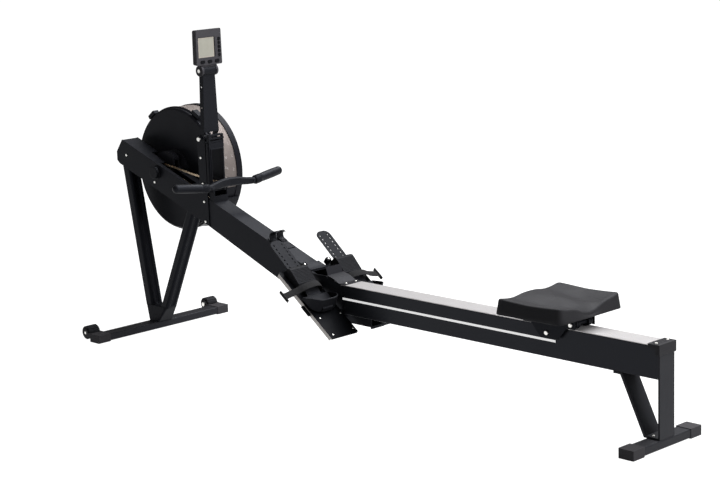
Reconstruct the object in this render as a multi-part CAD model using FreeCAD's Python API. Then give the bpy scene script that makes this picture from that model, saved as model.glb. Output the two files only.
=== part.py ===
"""Air rowing machine: a fan flywheel in a cage, a level seat rail, a sliding seat, footrests and a monitor.

Frame: millimetres, +Z up. +X runs from the flywheel end to the rear foot, and the rower faces -X.
-Y is the rower's left hand side. The origin is on the floor, under the middle of the machine.
"""
import FreeCAD, Part
import math
import os

V = FreeCAD.Vector

# ---------------------------------------------------------------- driving dimensions
LENGTH = 2440.0
WIDTH = 610.0
REAR_X = LENGTH / 2
FRONT_X = -LENGTH / 2

SHEET = 3.0                 # folded steel plate
FIT = 0.3                   # clear gap between pieces of different bodies
RUN = 0.05                  # radial clearance of a running shaft

# rail
RAIL_TOP = 304.4
TRACK_T = 2.0
TRACK_HALF = 38.1
RAIL_HALF = 34.5
RAIL_BOTTOM = 204.8
RAIL_FRONT = -108.0
TRACK_FRONT = -58.0
POST_T = 6.0
POST_REAR = REAR_X - 4.2
STRAP_HALF = 34.6

# feet
FOOT_H = 27.6
CAP_H = 29.6
CAP_DEEP = 53.6
CAP_LONG = 54.0
REAR_FOOT_HALF = 162.6
FRONT_FOOT_X = -1061.7
REAR_FOOT_X = REAR_X - CAP_DEEP / 2
WHEEL_R = 24.0
WHEEL_X = FRONT_FOOT_X - CAP_DEEP / 2 - WHEEL_R - 2.0
WHEEL_Z = 28.3

# sloping main beam
BEAM_TILT = math.radians(20.0)
BEAM_X = -500.0
BEAM_Z = 392.0
BEAM_DEEP = 90.0
BEAM_HALF = 33.0
BEAM_DROP = 0.0345
BEAM_REAR = RAIL_FRONT - 1.0
COLUMN_LEFT = -757.0
COLUMN_RIGHT = -713.0
PLATE_OUT = 36.4
PIVOT = (-747.0, 727.0)

# flywheel
AXLE = (-994.8, 587.0)
AXLE_R = 10.0
CAGE_IN = 57.6
CAGE_STEP = 79.0
CAGE_OUT_IN = 152.0
CAGE_OUT = 180.0
CAGE_R = 225.0
MESH_R = 221.5
ROTOR_R = 205.0
BLADES = 16
TEETH = 12
CHAIN_PITCH = 9.525
SPROCKET_R = CHAIN_PITCH / (2 * math.sin(math.pi / TEETH))
TOOTH_TIP = SPROCKET_R + 2.4
CHAIN_HIGH = 7.0
CHAIN_HALF = 3.5
CHAIN_SLOPE = math.radians(7.4)

# footrest
FOOT_TILT = math.radians(37.0)
PLATE_TOP = (-220.0, 345.0)
PLATE_LONG = 307.0
FOOT_Y = 105.5
FOOT_HALF = 60.5
PLATE_T = 4.0

# seat
SEAT_X = 825.0
SEAT_LONG = 240.0
SEAT_BOTTOM = 341.0
SEAT_TOP = 387.0
SEAT_HALF = 144.0
ROLLER_R = 15.0
ROLLER_Z = RAIL_TOP + FIT + ROLLER_R
ROLLER_REACH = 83.0
GUIDE_R = 19.0
GUIDE_Z = RAIL_TOP - TRACK_T - FIT - GUIDE_R
SIDE_IN = 44.0

# handle
GRIP_R = 15.5
HANDLE_MID = (-640.0, 579.0)
HANDLE_ELBOW = (-626.0, 102.0, 575.0)
HANDLE_TIP = (-643.5, 247.0, 591.5)

# monitor
FACE_X = -713.0
CASE_T = 24.0
CASE_BOTTOM = 984.5
CASE_TOP = 1108.0
CASE_HALF = 57.5
TILT = (-728.0, 965.0)
TILT_R = 16.5
ARM_FRONT = -720.0
ARM_DEEP = 20.0


# ---------------------------------------------------------------- helpers
def box(x0, x1, y0, y1, z0, z1):
    return Part.makeBox(x1 - x0, y1 - y0, z1 - z0, V(x0, y0, z0))


def rod_y(x, z, r, y0, y1):
    return Part.makeCylinder(r, y1 - y0, V(x, y0, z), V(0, 1, 0))


def ring_y(x, z, r_out, r_in, y0, y1):
    return rod_y(x, z, r_out, y0, y1).cut(rod_y(x, z, r_in, y0 - 1, y1 + 1))


def prism_y(points, y0, y1):
    """Extrude an outline of (x, z) points along Y."""
    corners = [V(x, y0, z) for x, z in points]
    wire = Part.makePolygon(corners + [corners[0]])
    return Part.Face(wire).extrude(V(0, y1 - y0, 0))


def rod(a, b, r):
    a, b = V(*a), V(*b)
    return Part.makeCylinder(r, (b - a).Length, a, b - a)


def rounded(shape, radius, pick):
    """Fillet the edges that pick() accepts."""
    edges = [e for e in shape.Edges if pick(e)]
    return shape.makeFillet(radius, edges)


def along(axis):
    """Pick the straight edges that run along one axis."""
    def test(edge):
        if not isinstance(edge.Curve, Part.Line):
            return False
        return abs(abs(edge.Curve.Direction.dot(axis)) - 1) < 1e-6
    return test


def mirrored(shape):
    return shape.mirror(V(0, 0, 0), V(0, 1, 0))


def both(shape):
    """A piece and its mirror image across the machine's middle plane."""
    return [shape, mirrored(shape)]


def fuse(shapes):
    first, rest = shapes[0], shapes[1:]
    return first.fuse(rest).removeSplitter() if rest else first


def frame_on_slope(x, y, z, tilt):
    """A placement whose own X runs down the slope towards the rower, and own Z out of the surface."""
    turn = FreeCAD.Rotation(V(0, 1, 0), math.degrees(tilt))
    return FreeCAD.Placement(V(x, y, z), turn)


def placed(shape, placement):
    copy = shape.copy()
    copy.Placement = placement.multiply(copy.Placement)
    return copy


def hex_bolt_y(x, z, y_face, out, r=5.0, high=4.0):
    """A domed bolt head that sits on a face and points along out (+1 or -1) in Y."""
    y0, y1 = sorted((y_face, y_face + out * high))
    head = rod_y(x, z, r, y0, y1)
    rim = [e for e in head.Edges if isinstance(e.Curve, Part.Circle)
           and abs(e.CenterOfMass.y - (y_face + out * high)) < 0.01]
    return head.makeFillet(high * 0.5, rim)


def round_bolt(position, direction, r=4.5, high=3.0):
    head = Part.makeCylinder(r, high, V(*position), V(*direction))
    tip = V(*position) + V(*direction) * high
    rim = [e for e in head.Edges if isinstance(e.Curve, Part.Circle)
           and (e.CenterOfMass - tip).Length < 0.01]
    return head.makeFillet(high * 0.6, rim)


os.makedirs("parts", exist_ok=True)


def save(name, shapes):
    shapes = shapes if isinstance(shapes, list) else [shapes]
    shape = shapes[0] if len(shapes) == 1 else Part.makeCompound(shapes)
    solids = len(shape.Solids)
    if not shape.isValid() or solids == 0:
        raise RuntimeError(name + " is not a valid solid")
    shape.exportStep("parts/" + name + ".step")
    size = shape.BoundBox
    print(f"{name:24s} solids {solids:3d}  {size.XMin:8.1f} {size.XMax:8.1f} "
          f"{size.YMin:7.1f} {size.YMax:7.1f} {size.ZMin:7.1f} {size.ZMax:7.1f}")


def beam_z(x, offset=0.0):
    """Height of the beam's centre line at x, moved square to the beam by offset."""
    return BEAM_Z - (x - BEAM_X) * math.tan(BEAM_TILT) + offset / math.cos(BEAM_TILT)


# ---------------------------------------------------------------- feet and legs
def end_cap(x, y_end, out):
    """A moulded cap over the end of a foot bar, with a hollow for the bar."""
    y0, y1 = sorted((y_end, y_end - out * CAP_LONG))
    shell = box(x - CAP_DEEP / 2, x + CAP_DEEP / 2, y0, y1, 0, CAP_H)
    shell = rounded(shell, 3.0, along(V(0, 0, 1)))
    tongue = sorted((y_end - out * 4.0, y_end - out * (CAP_LONG + 1)))
    return shell.cut(box(x - 25, x + 25, tongue[0], tongue[1], 1.6, FOOT_H))


def foot_bar(x, half):
    bar = box(x - 25, x + 25, -half, half, 1.6, FOOT_H)
    bar = rounded(bar, 4.0, along(V(0, 1, 0)))
    return bar.cut(box(x - 22.5, x + 22.5, -half - 1, half + 1, 4.1, FOOT_H - 2.5))


def front_cap():
    """The front cap also carries two ears that hold the transport wheel's axle."""
    cap = end_cap(FRONT_FOOT_X, WIDTH / 2, 1)
    front = FRONT_FOOT_X - CAP_DEEP / 2
    ears = []
    for y0 in (WIDTH / 2 - 4.0, WIDTH / 2 - CAP_LONG):
        ear = box(WHEEL_X, front + 1.5, y0, y0 + 4.0, 14, CAP_H)
        ear = ear.fuse(rod_y(WHEEL_X, WHEEL_Z, 13, y0, y0 + 4.0))
        ears.append(ear)
    body = fuse([cap] + ears)
    return body.cut(rod_y(WHEEL_X, WHEEL_Z, 5.0, WIDTH / 2 - CAP_LONG - 1, WIDTH / 2 + 1))


def transport_wheel():
    """A ribbed roller: grooves round its rim, and a bore that turns on the axle."""
    y0 = WIDTH / 2 - CAP_LONG + 4.5
    y1 = WIDTH / 2 - 4.5
    wheel = rod_y(WHEEL_X, WHEEL_Z, WHEEL_R, y0, y1)
    wheel = wheel.makeChamfer(1.5, [e for e in wheel.Edges if isinstance(e.Curve, Part.Circle)])
    flutes = []
    for k in range(10):
        a = math.radians(36 * k)
        x = WHEEL_X + (WHEEL_R + 1.6) * math.cos(a)
        z = WHEEL_Z + (WHEEL_R + 1.6) * math.sin(a)
        flutes.append(rod_y(x, z, 3.2, y0 - 1, y1 + 1))
    bore = rod_y(WHEEL_X, WHEEL_Z, 5.0 + RUN, y0 - 1, y1 + 1)
    return wheel.cut(flutes + [bore])


def wheel_axle():
    shank = rod_y(WHEEL_X, WHEEL_Z, 5.0, WIDTH / 2 - CAP_LONG, WIDTH / 2 - 0.5)
    return fuse([shank, rod_y(WHEEL_X, WHEEL_Z, 7.5, WIDTH / 2 - CAP_LONG - 4, WIDTH / 2 - CAP_LONG)])


def round_rect(x, z, wide, deep, r):
    """A horizontal rounded rectangle wire, wide along X and deep along Y."""
    plate = box(x - wide / 2, x + wide / 2, -deep / 2, deep / 2, z, z + 1)
    plate = rounded(plate, r, along(V(0, 0, 1)))
    flat = [f for f in plate.Faces if abs(f.CenterOfMass.z - z) < 1e-6]
    return flat[0].OuterWire


def leg_arm(foot, head, wide):
    """One arm of the V: a tube of rounded section with a long pressed groove on its front and back."""
    deep = 50.0
    wires = [round_rect(x, z, wide, deep, 10.0) for x, z in (foot, head)]
    arm = Part.makeLoft(wires, True, True)
    run = V(head[0] - foot[0], 0, head[1] - foot[1])
    for side in (-1, 1):
        start = V(foot[0], 0, foot[1]) + run * 0.03 + V(side * (wide / 2 + 9.5), 0, 0)
        length = run.Length * 0.90
        axis = V(run.x, 0, run.z).normalize()
        groove = Part.makeCylinder(14.0, length, start, axis)
        caps = [Part.makeSphere(14.0, start), Part.makeSphere(14.0, start + axis * length)]
        arm = arm.cut(fuse([groove] + caps))
    return arm


def front_leg():
    base = Part.makeLoft([round_rect(FRONT_FOOT_X + 1, FOOT_H, 54, 64, 3.0),
                          round_rect(-1052, 84, 119, 54, 10.0)], True, True)
    front = leg_arm((-1093.5, 80), (-1193, 620), 43.0)
    back = leg_arm((-1011.5, 80), (-811, 505), 39.0)
    leg = base.fuse([front, back])
    x0, x1 = -1300.0, -700.0
    above = prism_y([(x0, beam_z(x0, -BEAM_DEEP / 2)), (x1, beam_z(x1, -BEAM_DEEP / 2)),
                     (x1, 900), (x0, 900)], -80, 80)
    return leg.cut(above).removeSplitter()


save("front_foot_bar", foot_bar(FRONT_FOOT_X, WIDTH / 2 - 4.0))
save("front_end_caps", both(front_cap()))
save("front_leg", front_leg())
save("transport_wheel_left", mirrored(transport_wheel()))
save("transport_wheel_right", transport_wheel())


# ---------------------------------------------------------------- head: plates, cover and main beam
def head_outline():
    """Side plate of the head: a sloping beam with the upright column at its lower end."""
    column_foot = beam_z(COLUMN_LEFT, BEAM_DEEP / 2)
    lower = beam_z(COLUMN_RIGHT, -BEAM_DEEP / 2)
    return [(FRONT_X + 34, beam_z(FRONT_X + 34, BEAM_DEEP / 2)), (FRONT_X, 644), (FRONT_X, 612), (FRONT_X + 13, 601),
            (COLUMN_RIGHT - 15, beam_z(COLUMN_RIGHT - 15, -BEAM_DEEP / 2)), (COLUMN_RIGHT, lower),
            (COLUMN_RIGHT - 4, 716), (COLUMN_RIGHT - 8, 727), (PIVOT[0] - 14, 727),
            (COLUMN_LEFT - 1, 705), (COLUMN_LEFT + 2, column_foot)]


def head_plate():
    plate = prism_y(head_outline(), PLATE_OUT - SHEET, PLATE_OUT)
    plate = plate.fuse(rod_y(PIVOT[0], PIVOT[1], 14.0, PLATE_OUT - SHEET, PLATE_OUT))
    plate = plate.cut(rod_y(AXLE[0], AXLE[1], AXLE_R + 2, 0, 60))
    return plate.cut(rod_y(PIVOT[0], PIVOT[1], 4.2, 0, 60)).removeSplitter()


def head_cover():
    """Folded cover between the plates: top, nose and floor, with a slot where the chain comes out."""
    rear = COLUMN_LEFT - 3
    inner = PLATE_OUT - SHEET
    up, down = BEAM_DEEP / 2, -BEAM_DEEP / 2
    outline = [(FRONT_X + 36, beam_z(FRONT_X + 36, up)), (FRONT_X + 3, 643), (FRONT_X + 3, 614),
               (FRONT_X + 14, beam_z(FRONT_X + 14, down)), (rear, beam_z(rear, down)), (rear, beam_z(rear, up))]
    skin = 2.5
    hollow = [(FRONT_X + 38, beam_z(FRONT_X + 38, up - skin)), (FRONT_X + 6, 642), (FRONT_X + 6, 616),
              (FRONT_X + 17, beam_z(FRONT_X + 17, down + skin)), (rear + 1, beam_z(rear + 1, down + skin)),
              (rear + 1, beam_z(rear + 1, up - skin))]
    cover = prism_y(outline, -inner, inner).cut(prism_y(hollow, -inner - 1, inner + 1))
    hump = box(AXLE[0] - 76, AXLE[0] + 48, 8.5, inner + 1, AXLE[1] - 10, 700)
    chain = box(AXLE[0] + 2, rear + 1, -18, 8.5, AXLE[1] - 30, 700)
    return cover.cut([hump, chain])


def main_beam():
    """Tube that slopes from the column down to the rail, and grows a little deeper on the way."""
    front = COLUMN_LEFT
    up, wall, keel = BEAM_DEEP / 2, 2.5, 197.0

    def underside(x):
        return beam_z(x, -BEAM_DEEP / 2 - 2.5) - BEAM_DROP * (x - COLUMN_RIGHT)
    turn = front
    while underside(turn) > keel:
        turn += 1.0

    def outline(x0, x1, cut):
        return [(x0, underside(x0) + cut), (turn, keel + cut), (x1, keel + cut),
                (x1, beam_z(x1, up - cut)), (x0, beam_z(x0, up - cut))]
    tube = prism_y(outline(front, BEAM_REAR, 0), -BEAM_HALF, BEAM_HALF)
    bore = prism_y(outline(front - 1, BEAM_REAR + 1, wall), -BEAM_HALF + wall, BEAM_HALF - wall)
    mouth = box(front - 1, COLUMN_RIGHT + 8, -BEAM_HALF + wall, BEAM_HALF - wall, beam_z(front), 600)
    rear = box(-198, BEAM_REAR - 14, -BEAM_HALF + wall, BEAM_HALF - wall, beam_z(-150), 400)
    return tube.cut([bore, mouth, rear])


def chain_guide():
    """Moulded housing at the front of the column, with the window that the chain comes through."""
    x0, x1 = COLUMN_LEFT, COLUMN_RIGHT + 15
    z0, z1 = 546.0, 715.0
    body = box(x0, x1, -33, 33, z0, z1)
    flange = box(COLUMN_RIGHT + 1, x1 - 4, -PLATE_OUT, PLATE_OUT, z0, z1)
    rib = box(COLUMN_RIGHT + 3, x1, -34, 34, 700, 709)
    body = body.fuse([flange, rib])
    body = body.cut(box(x0 - 1, x1 - 3, -29.5, 29.5, z0 + 3, z1 - 3))
    body = body.cut(box(x1 - 6, x1 + 1, -25, 25, 556, 692))
    frame = box(x1 - 1, x1 + 3, -28, 28, 553, 695).cut(box(x1 - 2, x1 + 4, -25, 25, 556, 692))
    body = body.fuse(frame)
    body = body.cut(box(x0 - 1, x0 + 20, -14, 14, z0 - 1, z0 + 60))
    bars = [box(x1 - 12, x1 + reach, -half, half, low, low + 6)
            for low, half, reach in ((716, 33, 0), (727, 34, 2), (738, 33, 0))]
    posts = [box(x1 - 12, x1, *span, 708, 744) for span in ((-33, -28), (28, 33))]
    web = box(x0, PIVOT[0] + 6, -30, 30, 708, PIVOT[1])
    barrel = rod_y(PIVOT[0], PIVOT[1], 11.0, -30, 30)
    body = body.fuse(bars + posts + [web, barrel])
    return body.cut(rod_y(PIVOT[0], PIVOT[1], 4.0, -40, 40)).removeSplitter()


def guide_bracket():
    """Open-topped moulded bracket that closes the foot of the column."""
    x0, x1 = COLUMN_RIGHT + 1, -686.0
    z0 = 503.0
    body = box(x0, x1, -32, 32, z0, 545)
    posts = [box(x1 - 4, x1, y, y + 5, 530, 557) for y in (-32, 27)]
    body = body.cut(box(x0 - 1, x1 - 3, -28, 28, z0 + 12, 560))
    body = body.cut(box(x1 - 4, x1 + 1, -27, 27, 530, 560)).fuse(posts)
    below = prism_y([(x0 - 5, beam_z(x0 - 5, BEAM_DEEP / 2)), (x1 + 5, beam_z(x1 + 5, BEAM_DEEP / 2)),
                     (x1 + 5, 400), (x0 - 5, 400)], -40, 40)
    return body.cut(below).removeSplitter()


save("head_plate_left", mirrored(head_plate()))
save("head_plate_right", head_plate())
save("head_cover", head_cover())
save("main_beam", main_beam())
save("chain_guide", chain_guide())
save("guide_bracket", guide_bracket())


# ---------------------------------------------------------------- flywheel cage and drive
def turned(profile):
    """Revolve an outline of (radius, y) points about the axle."""
    corners = [V(AXLE[0] + r, y, AXLE[1]) for r, y in profile]
    face = Part.Face(Part.makePolygon(corners + [corners[0]]))
    return face.revolve(V(AXLE[0], 0, AXLE[1]), V(0, 1, 0), 360)


def cage_inner_cover():
    """Pressed disc with a bevelled rim and a raised hub that bolts to the head plate."""
    skin = 2.0
    profile = [(14, PLATE_OUT + 0.1), (34, PLATE_OUT + 0.1), (70, CAGE_IN - 6), (70, CAGE_IN), (214, CAGE_IN),
               (220, CAGE_IN + 5), (220, CAGE_STEP - 9), (CAGE_R, CAGE_STEP - 5), (CAGE_R, CAGE_STEP),
               (CAGE_R - skin, CAGE_STEP), (CAGE_R - skin, CAGE_STEP - 4), (218, CAGE_STEP - 8),
               (218, CAGE_IN + 6), (213, CAGE_IN + skin), (68, CAGE_IN + skin), (32, PLATE_OUT + 3),
               (14, PLATE_OUT + 3)]
    return turned(profile)


def cage_outer_cover():
    """Outer cover: deep rim, ring of air slots and a hub that holds the outer bearing."""
    skin = 2.0
    profile = [(18.2, CAGE_OUT - 22), (30, CAGE_OUT - 22), (30, CAGE_OUT - 8), (CAGE_R - 10, CAGE_OUT - 8),
               (CAGE_R - 6, CAGE_OUT - 8), (CAGE_R - skin, CAGE_OUT - 12), (CAGE_R - skin, CAGE_OUT_IN),
               (CAGE_R, CAGE_OUT_IN), (CAGE_R, CAGE_OUT - 3), (CAGE_R - 4, CAGE_OUT), (CAGE_R - 14, CAGE_OUT),
               (CAGE_R - 20, CAGE_OUT - 6), (60, CAGE_OUT - 6), (50, CAGE_OUT), (18.2, CAGE_OUT)]
    cover = turned(profile)
    slots = []
    for k in range(24):
        blade = box(AXLE[0] + 85, AXLE[0] + 185, CAGE_OUT - 12, CAGE_OUT + 2, AXLE[1] - 5, AXLE[1] + 5)
        blade.rotate(V(AXLE[0], 0, AXLE[1]), V(0, 1, 0), 15 * k)
        slots.append(blade)
    return cover.cut(slots)


def sector(start, end, r_out, r_in, y0, y1):
    """Part of a ring about the axle, between two angles measured from +X towards +Z."""
    centre = V(AXLE[0], 0, AXLE[1])
    corners = [V(AXLE[0] + r, y, AXLE[1]) for r, y in ((r_in, y0), (r_out, y0), (r_out, y1), (r_in, y1))]
    face = Part.Face(Part.makePolygon(corners + [corners[0]]))
    face.rotate(centre, V(0, 1, 0), -start)
    return face.revolve(centre, V(0, -1, 0), end - start)


def cage_clamps():
    """Short bridges that tie the two covers together across the mesh."""
    clamps = []
    for angle in (127, 62, -27):
        strap = box(AXLE[0] + CAGE_R, AXLE[0] + CAGE_R + 7, CAGE_STEP - 6, CAGE_OUT_IN + 16,
                    AXLE[1] - 9, AXLE[1] + 9)
        lugs = [box(AXLE[0] + MESH_R + 1.5, AXLE[0] + CAGE_R + 1, y, y + 6, AXLE[1] - 9, AXLE[1] + 9)
                for y in (CAGE_STEP + 0.2, CAGE_OUT_IN - 6.2)]
        strap = rounded(strap, 2.0, lambda e: along(V(0, 0, 1))(e) and e.CenterOfMass.x > AXLE[0] + CAGE_R + 6)
        if angle > 0:
            lugs.append(rounded(box(AXLE[0] + CAGE_R, AXLE[0] + CAGE_R + 14, CAGE_STEP - 14, CAGE_STEP + 8,
                                    AXLE[1] - 20, AXLE[1] + 20), 4.0,
                                lambda e: along(V(0, 1, 0))(e) and e.CenterOfMass.x > AXLE[0] + CAGE_R + 13))
        clamp = fuse([strap] + lugs)
        clamp.rotate(V(AXLE[0], 0, AXLE[1]), V(0, 1, 0), -angle)
        clamps.append(clamp)
    return clamps


SKIRT_START, SKIRT_END = -164.0, -16.0


def cage_mesh():
    return sector(SKIRT_END + 0.2, 360 + SKIRT_START - 0.2, MESH_R, MESH_R - 1.2, CAGE_STEP - 2, CAGE_OUT_IN + 2)


def cage_skirt():
    """Solid band that closes the lower part of the cage, with a step where the mesh tucks in."""
    band = sector(SKIRT_START, SKIRT_END, MESH_R + 1.2, MESH_R - 1.2, CAGE_STEP - 2, CAGE_OUT_IN + 2)
    lip = sector(SKIRT_END - 2.0, SKIRT_END + 1.5, MESH_R + 2.4, MESH_R + 0.1, CAGE_STEP + 0.5, CAGE_OUT_IN - 0.5)
    return band.fuse(lip).removeSplitter()


def flywheel_bearings():
    """Bearing rings in the near plate and the outer cover, and the carrier beside the sprocket."""
    x, z = AXLE
    near = ring_y(x, z, 19, AXLE_R + RUN, -PLATE_OUT + SHEET, -PLATE_OUT + SHEET + 11)
    outer = ring_y(x, z, 18, AXLE_R + RUN, CAGE_OUT - 20, CAGE_OUT - 6)
    carrier = ring_y(x, z, 70, AXLE_R + RUN, 9.0, PLATE_OUT - SHEET)
    low = box(x - 90, x + 90, 0, 50, z - 80, z - 20)
    right = box(x + 46, x + 90, 0, 50, z - 80, z + 80)
    carrier = carrier.cut([low, right])
    carrier = carrier.cut(ring_y(x, z, 62, 24, 13.0, PLATE_OUT - SHEET - 4))
    return [near, outer, carrier]


def flywheel_rotor():
    """Steel disc with fan blades and a moulded rim, and the axle that it is keyed to."""
    x, z = AXLE
    disc = ring_y(x, z, ROTOR_R, AXLE_R, 84, 88)
    hub = ring_y(x, z, 34, AXLE_R, 72, 146)
    rim = ring_y(x, z, ROTOR_R, ROTOR_R - 10, 84, 104)
    end_ring = ring_y(x, z, ROTOR_R, ROTOR_R - 22, 148, 151)
    blades = []
    for k in range(BLADES):
        blade = box(x + 118, x + ROTOR_R - 2, 86, 149, z - 1.5, z + 1.5)
        blade.rotate(V(x + 160, 0, z), V(0, 1, 0), 18)
        blade.rotate(V(x, 0, z), V(0, 1, 0), 360.0 / BLADES * k)
        blades.append(blade)
    rotor = fuse([disc, hub, rim, end_ring] + blades)
    axle = rod_y(x, z, AXLE_R, -PLATE_OUT + SHEET + 0.5, CAGE_OUT - 7)
    collar = ring_y(x, z, 16, AXLE_R, 40.5, 71.5)
    return [rotor, fuse([axle, collar])]


def drive_sprocket():
    """Toothed wheel on a one-way clutch that turns round the axle."""
    x, z = AXLE
    body = rod_y(x, z, SPROCKET_R - 2.4, -1.4, 1.4)
    teeth = []
    for k in range(TEETH):
        a = 2 * math.pi * (k + 0.5) / TEETH
        half = 0.13
        inner, outer = SPROCKET_R - 4.0, TOOTH_TIP
        points = [(inner, a - half * 1.5), (outer, a - half * 0.35), (outer, a + half * 0.35), (inner, a + half * 1.5)]
        teeth.append(prism_y([(x + r * math.cos(t), z + r * math.sin(t)) for r, t in points], -1.4, 1.4))
    hub = rod_y(x, z, 13.4, -19, 7.5)
    return fuse([body, hub] + teeth).cut(rod_y(x, z, AXLE_R + RUN, -30, 30))


def axle_cap():
    flange = rod_y(AXLE[0], AXLE[1], 25, -PLATE_OUT - 3, -PLATE_OUT)
    body = rod_y(AXLE[0], AXLE[1], 22, -PLATE_OUT - 15.5, -PLATE_OUT)
    plug = rod_y(AXLE[0], AXLE[1], AXLE_R + 1.8, -PLATE_OUT, -PLATE_OUT + SHEET)
    cap = fuse([flange, body])
    rim = [e for e in cap.Edges if isinstance(e.Curve, Part.Circle) and e.CenterOfMass.y < -PLATE_OUT - 15]
    return cap.makeFillet(2.5, rim).fuse(plug)


CHAIN_R = TOOTH_TIP + FIT + CHAIN_HIGH / 2
IDLER_R = 11.0
IDLER_AWAY = IDLER_R + FIT + CHAIN_HIGH / 2
IDLER_X = COLUMN_LEFT + 22.0
IDLER_Z = AXLE[1] + (CHAIN_R - IDLER_AWAY - math.sin(CHAIN_SLOPE) * (IDLER_X - AXLE[0])) / math.cos(CHAIN_SLOPE)
CHAIN_LEVEL = IDLER_Z + IDLER_AWAY
CHAIN_END_X = -663.0
RETURN_R = 16.0
RETURN_X = -300.0
RETURN_AWAY = RETURN_R + FIT + CHAIN_HIGH / 2


def on_beam(point, run, rise):
    """A point moved down the slope of the beam by run, and square to it by rise."""
    sx, sz = math.sin(BEAM_TILT), math.cos(BEAM_TILT)
    return (point[0] + run * sz + rise * sx, point[1] - run * sx + rise * sz)


LOWER_START = on_beam(AXLE, 0.0, -CHAIN_R)
LOWER_RUN = (RETURN_X - LOWER_START[0]) / math.cos(BEAM_TILT)
LOWER_END = on_beam(LOWER_START, LOWER_RUN, 0.0)
RETURN_CENTRE = on_beam(LOWER_END, 0.0, RETURN_AWAY)


def strip(a, b, high):
    """A straight run of chain between two (x, z) points."""
    dx, dz = b[0] - a[0], b[1] - a[1]
    size = math.hypot(dx, dz)
    nx, nz = -dz / size * high / 2, dx / size * high / 2
    return prism_y([(a[0] + nx, a[1] + nz), (b[0] + nx, b[1] + nz), (b[0] - nx, b[1] - nz),
                    (a[0] - nx, a[1] - nz)], -CHAIN_HALF, CHAIN_HALF)


def drive_chain():
    """Roller chain: handle run over the idler, wrap round the sprocket, return run round the pulley."""
    x, z = AXLE
    slope_x, slope_z = math.sin(CHAIN_SLOPE), math.cos(CHAIN_SLOPE)
    top = (x + CHAIN_R * slope_x, z + CHAIN_R * slope_z)
    bend = (IDLER_X + IDLER_AWAY * slope_x / 2, CHAIN_LEVEL)
    sloped = strip(top, (IDLER_X + IDLER_AWAY * slope_x, IDLER_Z + IDLER_AWAY * slope_z), CHAIN_HIGH)
    level = strip(bend, (CHAIN_END_X, CHAIN_LEVEL), CHAIN_HIGH)
    wrap = sector(90 - math.degrees(CHAIN_SLOPE), 270 - math.degrees(BEAM_TILT),
                  CHAIN_R + CHAIN_HIGH / 2, CHAIN_R - CHAIN_HIGH / 2, -CHAIN_HALF, CHAIN_HALF)
    lower = strip(LOWER_START, LOWER_END, CHAIN_HIGH)
    turn = ring_y(RETURN_CENTRE[0], RETURN_CENTRE[1], RETURN_AWAY + CHAIN_HIGH / 2,
                  RETURN_AWAY - CHAIN_HIGH / 2, -CHAIN_HALF, CHAIN_HALF)
    corners = [on_beam(RETURN_CENTRE, run, rise) for run, rise in ((0, 60), (0, -60), (-60, -60), (-60, 60))]
    turn = turn.cut(prism_y(corners, -20, 20))
    upper = on_beam(RETURN_CENTRE, 0.0, RETURN_AWAY)
    back = strip(upper, on_beam(upper, -648.0, 0.0), CHAIN_HIGH)
    return fuse([sloped, level, wrap, lower, turn, back])


def return_pulley():
    x, z = RETURN_CENTRE
    wheel = rod_y(x, z, RETURN_R, -3.2, 3.2)
    groove = ring_y(x, z, RETURN_R + 1, RETURN_R - 2.5, -1.2, 1.2)
    return wheel.cut([groove, rod_y(x, z, 3.0 + RUN, -10, 10)])


def return_block():
    """Two cheeks that hold the return pulley's pin and the eye of the elastic cord."""
    x, z = RETURN_CENTRE
    slope = frame_on_slope(x, 0, z, BEAM_TILT)
    cheeks = [placed(box(-10, 46, y, y + 3, -9, 9), slope) for y in (-7.0, 4.0)]
    bridge = placed(box(30, 46, -7, 7, -9, 9), slope)
    return fuse(cheeks + [bridge, rod_y(x, z, 3.0, -9, 9)])


def return_cord():
    """Elastic cord from the pulley block to its anchor pin at the lower end of the beam."""
    reach = 46.0 + FIT
    slope = frame_on_slope(RETURN_CENTRE[0], 0, RETURN_CENTRE[1], BEAM_TILT)
    cord = placed(Part.makeCylinder(4.0, 110, V(reach, 0, 0), V(1, 0, 0)), slope)
    eye = placed(Part.makeCylinder(8.0, 10, V(reach + 110, 0, 0), V(1, 0, 0)), slope)
    tail = on_beam(RETURN_CENTRE, reach + 115, 0.0)
    pin = rod_y(tail[0], tail[1], 3.0, -BEAM_HALF + 2.5, BEAM_HALF - 2.5)
    anchor = on_beam(on_beam(RETURN_CENTRE, 0.0, RETURN_AWAY), -652.0, 0.0)
    peg = rod_y(anchor[0], anchor[1], 3.5, -PLATE_OUT + SHEET, PLATE_OUT - SHEET)
    return [fuse([cord, eye, pin]), peg]


def chain_idler():
    """Guide roller under the chain, on a pin across the column."""
    wheel = rod_y(IDLER_X, IDLER_Z, IDLER_R, -9, 9)
    return wheel.cut(rod_y(IDLER_X, IDLER_Z, 4.0 + RUN, -20, 20))


save("flywheel_bearings", flywheel_bearings())
save("cage_inner_cover", cage_inner_cover())
save("cage_outer_cover", cage_outer_cover())
save("cage_mesh", cage_mesh())
save("cage_skirt", cage_skirt())
save("cage_clamps", cage_clamps())
save("flywheel_rotor", flywheel_rotor())
save("drive_sprocket", drive_sprocket())
save("axle_cap", axle_cap())
save("drive_chain", drive_chain())
save("return_pulley", return_pulley())
save("return_block", return_block())
save("return_cord", return_cord())
save("chain_idler", chain_idler())


# ---------------------------------------------------------------- rail and rear leg
def rail():
    body = box(RAIL_FRONT, POST_REAR - POST_T, -RAIL_HALF, RAIL_HALF, RAIL_BOTTOM, RAIL_TOP - TRACK_T)
    body = rounded(body, 3.0, along(V(1, 0, 0)))
    wall = 3.0
    upper = box(RAIL_FRONT - 1, REAR_X, -RAIL_HALF + wall, RAIL_HALF - wall, 262, RAIL_TOP - TRACK_T - wall)
    lower = box(RAIL_FRONT - 1, REAR_X, -RAIL_HALF + wall, RAIL_HALF - wall, RAIL_BOTTOM + wall, 259)
    return body.cut([upper, lower])


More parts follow.
